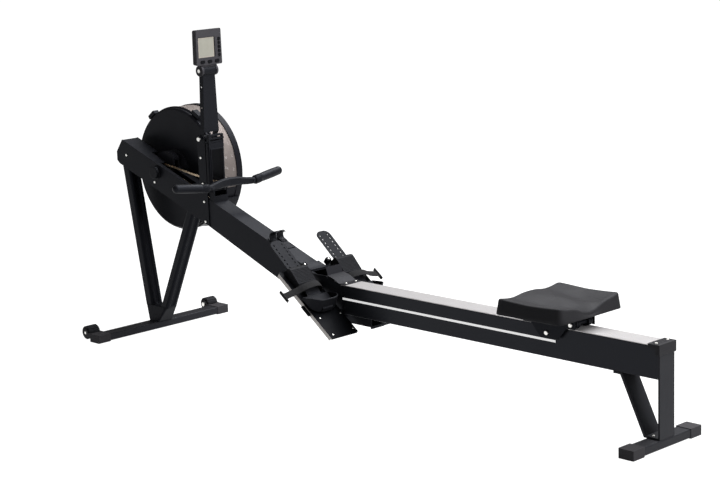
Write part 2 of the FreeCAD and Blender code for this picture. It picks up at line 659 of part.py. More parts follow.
def rail_track():
    return box(TRACK_FRONT, POST_REAR - POST_T, -TRACK_HALF, TRACK_HALF, RAIL_TOP - TRACK_T, RAIL_TOP)


def rail_end_cap():
    """Moulded cap over the rear end of the rail, with a skirt down its back and sides."""
    x0, x1 = 1177.0, POST_REAR + 3
    half = TRACK_HALF + 3.2
    cap = box(x0, x1, -half, half, RAIL_TOP - 28, RAIL_TOP + 3.5)
    cap = rounded(cap, 2.5, along(V(0, 0, 1)))
    inside = box(x0 - 1, POST_REAR + 0.1, -TRACK_HALF - 0.1, TRACK_HALF + 0.1, RAIL_TOP - 30, RAIL_TOP)
    grooves = [box(x0 + 8 + 9 * k, x0 + 10 + 9 * k, -half + 6, half - 6, RAIL_TOP + 2.7, RAIL_TOP + 5)
               for k in range(3)]
    sides = box(x0 - 1, POST_REAR - POST_T - 6, -half - 1, half + 1, RAIL_TOP - 30, RAIL_TOP - 8)
    return cap.cut([inside, sides] + grooves)


def rear_leg():
    """One flat bar bent into a foot, an upright post and a brace that comes back under the rail."""
    x1 = POST_REAR
    t = POST_T
    z0, z1 = FOOT_H, RAIL_TOP - TRACK_T - 1
    heel, brace_top, flange = 1163.0, 1079.0, 1052.0
    lean = math.atan2(RAIL_BOTTOM - z0, heel - brace_top)
    dx = t / math.sin(lean)
    outline = [(x1, z0), (x1, z1), (x1 - t, z1), (x1 - t, z0 + t), (heel + dx * 0.55, z0 + t),
               (brace_top + dx * 0.6, RAIL_BOTTOM), (flange, RAIL_BOTTOM), (flange, RAIL_BOTTOM - t),
               (brace_top - dx * 0.35, RAIL_BOTTOM - t), (heel - dx * 0.5, z0)]
    return prism_y(outline, -STRAP_HALF, STRAP_HALF)


save("rail", rail())
save("rail_track", rail_track())
save("rail_end_cap", rail_end_cap())
save("rear_leg", rear_leg())
save("rear_foot_bar", foot_bar(REAR_FOOT_X, REAR_FOOT_HALF - 4.0))
save("rear_end_caps", both(end_cap(REAR_FOOT_X, REAR_FOOT_HALF, 1)))


# ---------------------------------------------------------------- footrests
def foot_frame(y, x_along=0.0, high=0.0):
    """Placement on the near or far footplate: x_along is down the slope from its top edge."""
    base = frame_on_slope(PLATE_TOP[0], y, PLATE_TOP[1], FOOT_TILT)
    return base.multiply(FreeCAD.Placement(V(x_along, 0, high), FreeCAD.Rotation()))


def footplate():
    plate = box(0, PLATE_LONG, -FOOT_HALF, FOOT_HALF, -PLATE_T, 0)
    plate = rounded(plate, 7.0, lambda e: along(V(0, 0, 1))(e) and (e.CenterOfMass.x < 1 or e.CenterOfMass.y < 0))
    tab = box(150, 192, FOOT_HALF - 1, FOOT_HALF + 9, -PLATE_T - 6, -PLATE_T)
    hem = box(6, PLATE_LONG - 6, FOOT_HALF - 3, FOOT_HALF, -PLATE_T - 9, -PLATE_T + 1)
    block = rounded(box(-6, 9, -FOOT_HALF, -FOOT_HALF + 19, -PLATE_T, 15), 4.0, along(V(0, 0, 1)))
    screws = [round_bolt((x, y, z), (0, 0, 1), 3.2, 1.6)
              for x, y, z in ((217, 42, 0), (292, 42, 0), (287, -50, 0), (217, -50, 0), (1.5, -51, 15))]
    return placed(fuse([plate, hem, tab, block] + screws), foot_frame(FOOT_Y))


STRIP_HALF = 30.0
STRIP_T = 3.0
TONGUE_H = 13.0
CUP_X = 128.0
CUP_LONG = 69.0
CUP_HALF = 57.0
CUP_FLOOR = 6.0
CUP_H = 48.0


CUP_LEAN = 0.26             # how far the back of the cup leans towards the toe, per unit of height


def cup_block(inset, z0, z1):
    """Solid of the heel cup's plan, with rounded back corners, sheared towards the toe as it rises."""
    radius, half = 34.0 - inset, CUP_HALF - inset
    back = CUP_X + CUP_LONG - inset - CUP_LEAN * (z0 - CUP_FLOOR)
    corner = [(back - radius + radius * math.sin(a), radius * math.cos(a) - radius + half)
              for a in (math.pi / 2 * k / 10 for k in range(11))]
    outline = [(CUP_X - 30, half)] + corner
    outline += [(x, -y) for x, y in reversed(outline)]
    wire = Part.makePolygon([V(x, y, z0) for x, y in outline + outline[:1]])
    return Part.Face(wire).extrude(V(-CUP_LEAN * (z1 - z0), 0, z1 - z0))


def heel_cup():
    """Heel cup with the long perforated tongue that slides up the footplate to set the size."""
    line = [(-113, TONGUE_H + 7), (0, TONGUE_H), (101, TONGUE_H), (124, CUP_FLOOR), (150, CUP_FLOOR)]
    tongue = prism_y(line + list(reversed([(x, z + STRIP_T) for x, z in line])), -STRIP_HALF, STRIP_HALF)
    plan = box(-113, 150, -STRIP_HALF, STRIP_HALF, 0, 30)
    tongue = tongue.common(rounded(plan, 22.0, lambda e: along(V(0, 0, 1))(e) and e.CenterOfMass.x < 0))
    front = box(CUP_X - 60, CUP_X, -70, 70, -1, 80)
    cup = cup_block(0.0, CUP_FLOOR, CUP_H).cut(cup_block(3.5, CUP_FLOOR + 4, CUP_H + 1))
    rim = prism_y([(CUP_X - 60, 8), (CUP_X, CUP_FLOOR + 3), (CUP_X + 36, CUP_H - 8), (CUP_X + 52, CUP_H + 1),
                   (CUP_X - 60, CUP_H + 1)], -80, 80)
    lip = prism_y([(CUP_X + 64, CUP_FLOOR), (CUP_X + 72, CUP_FLOOR), (CUP_X + 70, 20), (CUP_X + 62, 22)], -22, 22)
    cup = fuse([tongue, cup.cut([front, rim]), lip])
    slots = []
    for k in range(8):
        x = -98 + 16.2 * k
        for y in (-17.0, 17.0):
            slots.append(box(x, x + 7.5, y - 2.5, y + 2.5, -2, 28))
    return placed(cup.cut(slots), foot_frame(FOOT_Y))


def toe_pad():
    """Ribbed moulded wedge over the tongue, which the ball of the foot rests on."""
    side = [(10, 0), (10, 24), (18, 30), (23, 30.6), (78, 20.5), (82, 17), (82, 0)]
    pad = prism_y(side, -39, 39)
    roof = TONGUE_H + STRIP_T + 0.6
    tunnel = prism_y([(9, -1), (9, roof + 3.4), (52, roof), (83, roof), (83, -1)], -STRIP_HALF - 0.6, STRIP_HALF + 0.6)
    ribs = []
    for k in range(10):
        x = 27.0 + 5.0 * k
        z = 30.6 - (x - 23) * 10.1 / 55
        ribs.append(box(x, x + 2.0, -36, 36, z - 1.2, z + 3))
    return placed(pad.cut([tunnel] + ribs), foot_frame(FOOT_Y))


def offset_line(points, t):
    """Points moved square to their polyline by t, to the left of its direction."""
    moved = []
    for k, (a, b) in enumerate(points):
        before = points[max(k - 1, 0)]
        after = points[min(k + 1, len(points) - 1)]
        da, db = after[0] - before[0], after[1] - before[1]
        size = math.hypot(da, db)
        moved.append((a - db / size * t, b + da / size * t))
    return moved


def foot_strap():
    """Webbing across the instep, with its folded tail standing out past the outer edge of the plate."""
    x0, x1 = 88.0, 113.0
    arch = [(-49.5, 0.3), (-45, 12), (-38, 22), (-22, 29.5), (0, 32), (22, 30), (39, 24), (55, 15), (73, 8),
            (92, 3), (109, 0)]
    upper = [V(x0, y, z) for y, z in reversed(offset_line(arch, 2.2))]
    lower = [V(x0, y, z) for y, z in arch]
    face = Part.Face(Part.makePolygon(lower + upper + [lower[0]]))
    band = face.extrude(V(x1 - x0, 0, 0))
    tail = rounded(box(x0 - 12, x1 + 12, 106, 112, -5, 5), 2.4, along(V(1, 0, 0)))
    return placed(band.fuse(tail), foot_frame(FOOT_Y))


def footrest_bracket():
    """Cheeks and a shoe that join the beam to the rail, with arms that carry the footplates."""
    cheek_in, cheek_out = RAIL_HALF + 0.1, RAIL_HALF + 3.1
    outline = [(-268, 262), (-258, 304), (-242, 348), (-200, 333), (-186, 324), (-130, 324), (-118, 320),
               (-60, 302), (-56, 302), (-56, 178), (-96, 178), (-140, 216)]
    cheek = prism_y(outline, cheek_in, cheek_out)
    parts = [cheek]
    y0, y1 = cheek_out - 1, FOOT_Y + FOOT_HALF - 6
    for x, length in ((70, 26), (200, 24)):
        arm = box(x, x + length, y0 - FOOT_Y, y1 - FOOT_Y, -PLATE_T - 14, -PLATE_T)
        parts.append(placed(arm, foot_frame(FOOT_Y)))
    side = fuse(parts)
    ridge = [(-241, beam_z(-241, BEAM_DEEP / 2) + 0.4), (-214, beam_z(-214, BEAM_DEEP / 2) + 0.4),
             (-198, beam_z(-198, BEAM_DEEP / 2) + 3.0)]
    saddle = prism_y(ridge + list(reversed(offset_line(ridge, 2.5))), -cheek_out, cheek_out)
    shoe = [box(-96, -56, -cheek_out, cheek_out, 178, 181), box(-96, 69, -30, 30, 178, 181),
            box(66, 69, -30, 30, 172, 180)]
    flange = box(-96, 69, 27, 30, 178, RAIL_BOTTOM - 0.1)
    return fuse([side, mirrored(side), saddle, flange, mirrored(flange)] + shoe)


def centre_cover():
    """Curved sheet that carries the line of the beam down onto the rail track."""
    half = TRACK_HALF
    top = [(-122, 326.5), (-106, 323), (-90, 318), (-76, 311), (-66, RAIL_TOP + 1.8), (-38, RAIL_TOP + 1.8)]
    low = [(x, z - 1.7) for x, z in reversed(top)]
    sheet = prism_y(top + low, -half, half)
    rear = prism_y([(-131, 352), (-122, 326.5), (-122, 324.8), (-133, 350)], -half + 4, half - 4)
    return sheet.fuse(rear).removeSplitter()


def handle_hook():
    """Saddle on the beam with two curled cradles that hold the handle between strokes."""
    x = -405.0
    base = box(-18, 66, -30, 30, 0, 2.5)
    base = rounded(base, 9.0, along(V(0, 0, 1)))
    centre = (10.0, 20.0)
    cradles = []
    for y0 in (-30, 4):
        ring = ring_y(centre[0], centre[1], 19.0, 14.5, y0, y0 + 26)
        mouth = prism_y([centre, (centre[0] + 7, 0), (60, 0), (60, 90), (centre[0] + 9, 90)], y0 - 1, y0 + 27)
        web = box(-4, 22, y0, y0 + 26, 0, 5)
        bore = rod_y(centre[0], centre[1], 14.5, y0 - 1, y0 + 27)
        cradles.append(ring.cut(mouth).fuse(web).cut(bore))
    corner = box(-30, 60, 12, 31, 21, 60).cut(Part.makeCylinder(18, 100, V(-35, 12, 21), V(1, 0, 0)))
    saddle = fuse([base] + [cradle.cut(both(corner)) for cradle in cradles])
    return placed(saddle, frame_on_slope(x, 0, beam_z(x, BEAM_DEEP / 2), BEAM_TILT))


for side, flip in (("left", mirrored), ("right", lambda shape: shape)):
    save("footplate_" + side, flip(footplate()))
    save("heel_cup_" + side, flip(heel_cup()))
save("toe_pads", both(toe_pad()))
save("foot_straps", both(foot_strap()))
save("footrest_bracket", footrest_bracket())
save("centre_cover", centre_cover())
save("handle_hook", handle_hook())


# ---------------------------------------------------------------- seat
def seat_pad():
    """Envelope of the moulded seat: narrower at the back, with a notch for the tailbone."""
    x0, x1 = SEAT_X - SEAT_LONG / 2, SEAT_X + SEAT_LONG / 2
    outline = [(x0, -SEAT_HALF), (x1, -SEAT_HALF + 8), (x1, SEAT_HALF - 8), (x0, SEAT_HALF)]
    corners = [V(x, y, SEAT_BOTTOM) for x, y in outline]
    pad = Part.Face(Part.makePolygon(corners + [corners[0]])).extrude(V(0, 0, SEAT_TOP - SEAT_BOTTOM))
    pad = rounded(pad, 22.0, along(V(0, 0, 1)))
    return rounded(pad, 6.0, lambda e: e.CenterOfMass.z > SEAT_TOP - 0.1)


def seat_carriage():
    """Folded channel under the seat, with the fixed axles of its rollers."""
    top = SEAT_BOTTOM - FIT
    plate = box(SEAT_X - 98, SEAT_X + 98, -SIDE_IN - 3, SIDE_IN + 3, top - 3, top)
    outline = [(SEAT_X - 98, top), (SEAT_X + 98, top), (SEAT_X + 98, 306), (SEAT_X + 66, 306), (SEAT_X + 34, 268),
               (SEAT_X - 34, 268), (SEAT_X - 66, 306), (SEAT_X - 98, 306)]
    sides = both(prism_y(outline, SIDE_IN, SIDE_IN + 3))
    body = fuse([plate] + sides)
    axles = []
    for x in (SEAT_X - ROLLER_REACH, SEAT_X + ROLLER_REACH):
        shaft = rod_y(x, ROLLER_Z, 4.0, -SIDE_IN, SIDE_IN)
        spacer = rod_y(x, ROLLER_Z, 8.0, -19.5, 19.5)
        heads = [hex_bolt_y(x, ROLLER_Z, side * (SIDE_IN + 3), side, 7.0, 5.0) for side in (-1, 1)]
        axles.append(fuse([shaft, spacer]))
        axles += heads
    for side in (-1, 1):
        y0, y1 = sorted((side * (RAIL_HALF + 1.2), side * SIDE_IN))
        axles.append(rod_y(SEAT_X - 8, GUIDE_Z, 4.0, y0, y1))
        axles.append(hex_bolt_y(SEAT_X - 8, GUIDE_Z, side * (SIDE_IN + 3), side, 7.0, 5.0))
    return [body] + axles


def roller_pair(x):
    """Two grooved rollers that run on top of the track."""
    roller = ring_y(x, ROLLER_Z, ROLLER_R, 4.0 + RUN, 20.0, 37.0)
    groove = ring_y(x, ROLLER_Z, ROLLER_R + 1, ROLLER_R - 1.5, 27.0, 30.0)
    return both(roller.cut(groove))


def guide_rollers():
    """Rollers under the overhang of the track, which keep the seat down."""
    roller = ring_y(SEAT_X - 8, GUIDE_Z, GUIDE_R, 4.0 + RUN, RAIL_HALF + 1.4, SIDE_IN - 0.4)
    return both(roller)


save("seat_pad", seat_pad())
save("seat_carriage", seat_carriage())
save("seat_rollers_front", roller_pair(SEAT_X - ROLLER_REACH))
save("seat_rollers_rear", roller_pair(SEAT_X + ROLLER_REACH))
save("guide_rollers", guide_rollers())


# ---------------------------------------------------------------- handle
def bar_section(y, x, z, wide, high):
    """Eight-sided section of the bar's deep middle, square to Y."""
    a, b = wide / 2, high / 2
    corner = min(a, b) * 0.55
    points = [(a, b - corner), (a - corner, b), (corner - a, b), (-a, b - corner), (-a, corner - b),
              (corner - a, -b), (a - corner, -b), (a, corner - b)]
    wire = [V(x + dx, y, z + dz) for dx, dz in points]
    return Part.makePolygon(wire + [wire[0]])


def handle_bar():
    """Forged bar: a deep arched middle and two round ends that run inside the grips."""
    elbow, tip = V(*HANDLE_ELBOW), V(*HANDLE_TIP)
    bar = []
    for sign in (1, -1):
        e = V(elbow.x, elbow.y * sign, elbow.z)
        t = V(tip.x, tip.y * sign, tip.z)
        sections = [bar_section(sign * y, x, z, wide, high) for y, x, z, wide, high in
                    ((0, HANDLE_MID[0], HANDLE_MID[1] + 3, 17, 31), (38, HANDLE_MID[0] + 3, HANDLE_MID[1] + 2, 17, 29),
                     (78, HANDLE_ELBOW[0] - 6, HANDLE_ELBOW[2] + 1, 17, 25), (103, HANDLE_ELBOW[0], HANDLE_ELBOW[2], 20, 22))]
        bar.append(Part.makeLoft(sections, True, True))
        bar.append(rod(e - (t - e) * 0.06, e + (t - e) * 0.93, 9.0))
    lug = box(HANDLE_MID[0] - 16, HANDLE_MID[0] - 2, -7, 7, HANDLE_MID[1] - 8, HANDLE_MID[1] + 7)
    return fuse(bar + [lug])


def hand_grip():
    """Rubber sleeve with a rounded end over one end of the bar."""
    elbow, tip = V(*HANDLE_ELBOW), V(*HANDLE_TIP)
    axis = (tip - elbow).normalize()
    start = elbow + axis * 3
    end = tip - axis * GRIP_R
    sleeve = Part.makeCylinder(GRIP_R, (end - start).Length, start, axis)
    sleeve = sleeve.makeFillet(5.0, [e for e in sleeve.Edges if isinstance(e.Curve, Part.Circle)
                                     and (e.CenterOfMass - start).Length < 0.1])
    sleeve = sleeve.fuse(Part.makeSphere(GRIP_R, end)).removeSplitter()
    return sleeve.cut(Part.makeCylinder(9.0, (tip - elbow).Length * 0.93, elbow, axis))


def chain_swivel():
    """Swivel link between the bar's lug and the end of the chain."""
    x0, x1 = CHAIN_END_X + FIT, HANDLE_MID[0] - 16
    barrel = Part.makeCylinder(6.0, x1 - x0, V(x0, 0, CHAIN_LEVEL), V(1, 0, 0))
    return barrel.makeChamfer(1.2, [e for e in barrel.Edges if isinstance(e.Curve, Part.Circle)
                                    and abs(e.CenterOfMass.x - x0) < 0.1])


save("handle_bar", handle_bar())
save("hand_grips", both(hand_grip()))
save("chain_swivel", chain_swivel())


# ---------------------------------------------------------------- monitor
def monitor_arm():
    """Folded channel that tapers upwards, with the tilt barrel at its top."""
    z0, z1 = 756.0, TILT[1] - 8
    low, high = 33.0, 27.0
    back = ARM_FRONT - ARM_DEEP

    def wires(x0, x1, half0, half1):
        a = [V(x0, -half0, z0), V(x1, -half0, z0), V(x1, half0, z0), V(x0, half0, z0)]
        b = [V(x0, -half1, z1), V(x1, -half1, z1), V(x1, half1, z1), V(x0, half1, z1)]
        return [Part.makePolygon(a + [a[0]]), Part.makePolygon(b + [b[0]])]
    outer = Part.makeLoft(wires(back, ARM_FRONT, low, high), True, True)
    inner = Part.makeLoft(wires(back - 1, ARM_FRONT - 2.5, low - 2.5, high - 2.5), True, True)
    channel = outer.cut(inner)
    ears = both(prism_y([(back, z0 + 8), (PIVOT[0] - 9, PIVOT[1] + 6), (PIVOT[0] - 9, PIVOT[1] - 6),
                         (PIVOT[0] + 9, PIVOT[1] - 6), (ARM_FRONT, z0 - 4), (ARM_FRONT, z0 + 8)], 30.5, 33.0))
    cross = box(ARM_FRONT - 4, ARM_FRONT, -33, 33, z0 - 5, z0 + 2)
    barrel = rod_y(TILT[0], TILT[1], TILT_R, -27, 27)
    arm = fuse([channel, barrel, cross] + ears)
    holes = [rod_y(back + 9, z, 3.0, -40, 40) for z in (836.0, 908.0)]
    pivot = rod_y(PIVOT[0], PIVOT[1], 4.0 + RUN, -40, 40)
    return arm.cut(holes + [pivot, rod_y(TILT[0], TILT[1], 4.0 + RUN, -40, 40)])


def monitor_case():
    """Case with its rear battery bulge and the two lugs of the tilt hinge."""
    x0 = FACE_X - CASE_T + 2
    half_top, half_low = 56.0, CASE_HALF

    def side(x, trim):
        points = [V(x, -half_low + trim, CASE_BOTTOM + trim), V(x, half_low - trim, CASE_BOTTOM + trim),
                  V(x, half_top - trim, CASE_TOP - trim), V(x, -half_top + trim, CASE_TOP - trim)]
        return Part.makePolygon(points + [points[0]])
    case = Part.makeLoft([side(x0, 2.0), side(FACE_X, 0.0)], True, True)
    case = rounded(case, 5.5, lambda e: abs(e.CenterOfMass.x - (x0 + FACE_X) / 2) < 0.6)
    bulge = box(x0 - 9, x0 + 1, -38, 38, CASE_BOTTOM + 12, CASE_BOTTOM + 74)
    bulge = rounded(bulge, 5.0, lambda e: along(V(1, 0, 0))(e))
    lug = ring_y(TILT[0], TILT[1], TILT_R + 2.0, 4.0 + RUN, 27.8, 36.0)
    neck = box(TILT[0] - 8, TILT[0] + 10, 27.8, 36.0, TILT[1] + 8, CASE_BOTTOM + 4)
    lugs = both(fuse([lug, neck]).cut(rod_y(TILT[0], TILT[1], 4.0 + RUN, 0, 60)))
    window = box(FACE_X - 3.0, FACE_X + 1, -47, 27.5, 1010.5, 1080.5)
    web = box(TILT[0] - 7, TILT[0] + 11, -28, 28, TILT[1] + 10, CASE_BOTTOM + 4)
    web = web.cut(rod_y(TILT[0], TILT[1], TILT_R + 0.5, -30, 30))
    body = fuse([case, bulge, web] + lugs)
    pockets = [Part.makeCylinder(radius + 0.4, 5.0, V(FACE_X - 4.5, y, z), V(1, 0, 0))
               for y, z, radius in ROUND_BUTTONS]
    pockets += [oval(y, z, 0.4, 5.0).translated(V(-4.5, 0, 0)) for y, z in OVAL_BUTTONS]
    pin = rod_y(TILT[0], TILT[1], 4.0, -36.0, 36.0)
    heads = [rod_y(TILT[0], TILT[1], 6.5, *sorted((side * 36.0, side * 38.5))) for side in (-1, 1)]
    return [body.cut([window] + pockets), fuse([pin] + heads)]


ROUND_BUTTONS = [(45.8, 1071.5 - 13.8 * k, 5.6) for k in range(5)]
OVAL_BUTTONS = [(-30.3 + 32.3 * k, 996.0) for k in range(3)]


def oval(y, z, grow, thick=4.6):
    """A pill-shaped key, 20 wide and 11 high, lying across the face."""
    r = 5.5 + grow
    ends = [Part.makeCylinder(r, thick, V(FACE_X, y + side * 4.5, z), V(1, 0, 0)) for side in (-1, 1)]
    return fuse(ends + [box(FACE_X, FACE_X + thick, y - 4.5, y + 4.5, z - r, z + r)])


def button(shape, thick=4.6):
    """Set a key so that it stands 1.8 proud of the face, with a softened front edge."""
    key = shape.translated(V(-thick + 1.8 + 0.3, 0, 0))
    front = [e for e in key.Edges if abs(e.CenterOfMass.x - (FACE_X + 2.1)) < 0.01]
    return key.makeFillet(0.7, front)


def monitor_screen():
    return box(FACE_X - 3.0, FACE_X - 1.5, -46.8, 27.3, 1010.7, 1080.3)


save("monitor_arm", monitor_arm())
save("monitor_case", monitor_case())
save("monitor_screen", monitor_screen())
for index, (y, z, radius) in enumerate(ROUND_BUTTONS):
    save(f"side_button_{index + 1}", button(Part.makeCylinder(radius, 4.6, V(FACE_X, y, z), V(1, 0, 0))))
for index, (y, z) in enumerate(OVAL_BUTTONS):
    save(f"lower_button_{index + 1}", button(oval(y, z, 0.0)))


# ---------------------------------------------------------------- fasteners of the frame
def frame_bolts():
    bolts = []
    plate_points = [(-1163, 634.7), (-1005.5, 550.5), (-741.4, 662.5), (-735.9, 571.1), (-733.6, 507.5),
                    (-731, 437)]
    for x, z in plate_points:
        bolts.append(hex_bolt_y(x, z, -PLATE_OUT, -1, 4.6, 3.0))
        if abs(x - AXLE[0]) > 80:
            bolts.append(hex_bolt_y(x, z, PLATE_OUT, 1, 4.6, 3.0))
    pivot = rod_y(PIVOT[0], PIVOT[1], 4.0, -PLATE_OUT, PLATE_OUT)
    ends = [hex_bolt_y(PIVOT[0], PIVOT[1], side * PLATE_OUT, side, 8.0, 5.0) for side in (-1, 1)]
    bolts.append(fuse([pivot] + ends))
    bolts += both(wheel_axle())
    pins = [rod_y(IDLER_X, IDLER_Z, 4.0, -29.5, 29.5)]
    bolts += pins
    for y in (-22, 22):
        bolts.append(round_bolt((-50, y, RAIL_TOP + 1.8), (0, 0, 1)))
        bolts.append(round_bolt((1198, y * 1.2, RAIL_TOP + 3.5), (0, 0, 1), 5.0))
        bolts.append(round_bolt((1066, y, RAIL_BOTTOM - POST_T), (0, 0, -1), 6.0, 5.0))
        bolts.append(round_bolt((1185, y, FOOT_H + POST_T), (0, 0, 1), 5.0))
    return bolts


save("frame_bolts", frame_bolts())
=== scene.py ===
# %% [markdown]
# # An air rowing machine, finished in Blender
# The frame, rail, cage and all the mechanism arrive as a imported CAD model. This lesson gives each
# piece its finish, and builds what CAD leaves plain: the moulded seat, the perforated cage
# mesh, the chain, the webbing straps and the display. Everything is in metres, +Z up, and the
# rower faces -X.

# %% Load the imported machine
import math

import bpy
from mathutils import Matrix, Vector


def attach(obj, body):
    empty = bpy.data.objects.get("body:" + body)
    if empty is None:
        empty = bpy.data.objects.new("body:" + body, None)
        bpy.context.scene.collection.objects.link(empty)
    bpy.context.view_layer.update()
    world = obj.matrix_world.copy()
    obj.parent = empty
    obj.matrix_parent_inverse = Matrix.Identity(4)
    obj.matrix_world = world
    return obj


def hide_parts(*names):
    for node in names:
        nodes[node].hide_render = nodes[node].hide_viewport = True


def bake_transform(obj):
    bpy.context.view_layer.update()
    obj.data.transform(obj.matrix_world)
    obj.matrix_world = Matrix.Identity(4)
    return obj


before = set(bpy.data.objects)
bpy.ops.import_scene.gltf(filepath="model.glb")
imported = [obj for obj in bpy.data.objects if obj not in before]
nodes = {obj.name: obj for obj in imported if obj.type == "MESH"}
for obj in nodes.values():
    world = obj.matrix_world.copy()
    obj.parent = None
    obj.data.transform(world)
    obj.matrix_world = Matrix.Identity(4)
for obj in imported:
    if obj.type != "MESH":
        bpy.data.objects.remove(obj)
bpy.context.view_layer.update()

# %% [markdown]
# ## Camera
# The machine is seen from the rower's left and behind, a little above the seat. A long lens from
# about five metres keeps the rail nearly parallel. A camera looks along its own -Z, so its matrix
# is made from the right, up and backward directions.

# %% Camera
YAW, DIP, ROLL = 0.79528, 0.20244, -0.03267
CAMERA_AT = Vector((4.2569, -4.1750, 1.6628))
SENSOR_WIDTH = 36.0
FOCAL_SHARE = 1876.5 / 720
forward = Vector((-math.sin(YAW) * math.cos(DIP), math.cos(YAW) * math.cos(DIP), -math.sin(DIP)))
level_right = Vector((math.cos(YAW), math.sin(YAW), 0.0))
level_up = level_right.cross(forward)
right = level_right * math.cos(ROLL) + level_up * math.sin(ROLL)
up = level_up * math.cos(ROLL) - level_right * math.sin(ROLL)
lens = bpy.data.cameras.new("camera")
lens.sensor_width = SENSOR_WIDTH
lens.lens = FOCAL_SHARE * SENSOR_WIDTH
camera = bpy.data.objects.new("camera", lens)
turn = Matrix((right, up, -forward)).transposed().to_4x4()
camera.matrix_world = Matrix.Translation(CAMERA_AT) @ turn
bpy.context.scene.collection.objects.link(camera)
bpy.context.scene.camera = camera
bpy.context.scene.view_settings.view_transform = "Standard"
print("lens", round(lens.lens, 2), "mm")


# %% [markdown]
# ## Node helpers
# Every finish is a small network of nodes. `add` makes a node and fills its sockets, so that each
# finish below reads as a short list. Patterns use object coordinates in metres, so a texture scale
# of 1000 means features about a millimetre across, and they move with the piece.

# %% Node helpers
def add(tree, kind, **values):
    """Make one node. Values whose name is a socket go to the socket, and others to the node."""
    node = tree.nodes.new(kind)
    for name, value in values.items():
        socket = node.inputs.get(name.replace("_", " "))
        if socket is None:
            setattr(node, name, value)
        elif isinstance(value, bpy.types.NodeSocket):
            tree.links.new(value, socket)
        else:
            socket.default_value = value
    return node


def tone(grey, tint=(1.0, 1.0, 1.0)):
    return (grey * tint[0], grey * tint[1], grey * tint[2], 1.0)


def new_finish(name):
    material = bpy.data.materials.new(name)
    material.use_nodes = True
    tree = material.node_tree
    tree.nodes.clear()
    place = add(tree, "ShaderNodeTexCoord").outputs["Object"]
    return material, tree, place


def close_finish(tree, shader):
    output = add(tree, "ShaderNodeOutputMaterial")
    tree.links.new(shader.outputs["BSDF"], output.inputs["Surface"])


def ramp(tree, value, low, high, to_low=0.0, to_high=1.0):
    node = add(tree, "ShaderNodeMapRange", Value=value)
    for socket, number in zip(("From Min", "From Max", "To Min", "To Max"), (low, high, to_low, to_high)):
        node.inputs[socket].default_value = number
    return node.outputs["Result"]


def blend_colours(tree, factor, first, second):
    node = add(tree, "ShaderNodeMix", data_type="RGBA")
    for socket, value in ((0, factor), (6, first), (7, second)):
        if isinstance(value, bpy.types.NodeSocket):
            tree.links.new(value, node.inputs[socket])
        else:
            node.inputs[socket].default_value = value
    return node.outputs[2]


def calculate(tree, operation, *values):
    node = add(tree, "ShaderNodeMath", operation=operation)
    for socket, value in zip(node.inputs, values):
        if isinstance(value, bpy.types.NodeSocket):
            tree.links.new(value, socket)
        else:
            socket.default_value = value
    return node.outputs[0]


def noise(tree, place, scale, detail=2.0, rough=0.5):
    node = add(tree, "ShaderNodeTexNoise", Vector=place, Scale=scale, Detail=detail, Roughness=rough)
    return node.outputs["Fac"]


# %% [markdown]
# ## Rounded edges
# CAD edges are perfectly sharp, but a real folded or moulded edge catches a thin line of light.
# The Bevel node turns the shading normal near an edge as if it were rounded. Comparing that normal
# with the true one also says how close a point is to an edge, which is where paint rubs thin and
# where a painted highlight is laid.

# %% Edge helpers
def soft_edges(tree, radius):
    return add(tree, "ShaderNodeBevel", samples=6, Radius=radius).outputs["Normal"]


def edge_rub_and_highlight(tree, rounded_normal):
    true_normal = add(tree, "ShaderNodeNewGeometry").outputs["True Normal"]
    dot = add(tree, "ShaderNodeVectorMath", operation="DOT_PRODUCT")
    tree.links.new(rounded_normal, dot.inputs[0])
    tree.links.new(true_normal, dot.inputs[1])
    # The mask is 1 right at an edge. It marks rubbed paint and also a painted highlight.
    return ramp(tree, dot.outputs["Value"], 0.995, 0.80)


# %% [markdown]
# ## Painted and moulded finishes
# Most of the machine is black, and what tells its pieces apart is how each black scatters light.
# Powder coat has an orange-peel ripple about a millimetre across. Moulded plastic has a finer
# spark-eroded grain and is a touch rougher. Both drift a little in tone from place to place, and
# both are paler along their edges: partly rubbed paint, and partly a painted highlight where an edge
# catches the light.

# %% Coat and moulding finishes
def black_finish(name, colour, rough, grain_scale, grain_depth, radius=0.0008, rub_and_highlight=0.25, shine=0.08):
    material, tree, place = new_finish(name)
    cloud = noise(tree, place, 9.0, 4.0)
    grain = noise(tree, place, grain_scale, 2.0)
    rounded = soft_edges(tree, radius)
    # Edges turn paler in patches: partly rubbed paint, partly a painted highlight.
    patches = ramp(tree, noise(tree, place, 60.0, 3.0), 0.35, 0.75, 0.0, rub_and_highlight)
    rubbed_and_highlit = calculate(tree, "MULTIPLY", edge_rub_and_highlight(tree, rounded), patches)
    drift = blend_colours(tree, cloud, tone(0.86, colour), tone(1.14, colour))
    # Near an edge the colour rises to 3.2 times its tone: a painted highlight mixed with rubbed paint.
    worn = blend_colours(tree, rubbed_and_highlit, drift, tone(3.2, colour))
    bump = add(tree, "ShaderNodeBump", Height=grain, Normal=rounded, Strength=0.5, Distance=grain_depth)
    shader = add(tree, "ShaderNodeBsdfPrincipled", Base_Color=worn, Normal=bump.outputs["Normal"])
    tree.links.new(ramp(tree, cloud, 0.3, 0.7, rough - 0.04, rough + 0.05), shader.inputs["Roughness"])
    shader.inputs["Specular IOR Level"].default_value = shine
    shader.inputs["Specular Tint"].default_value = (0.78, 0.84, 1.0, 1.0)
    close_finish(tree, shader)
    return material


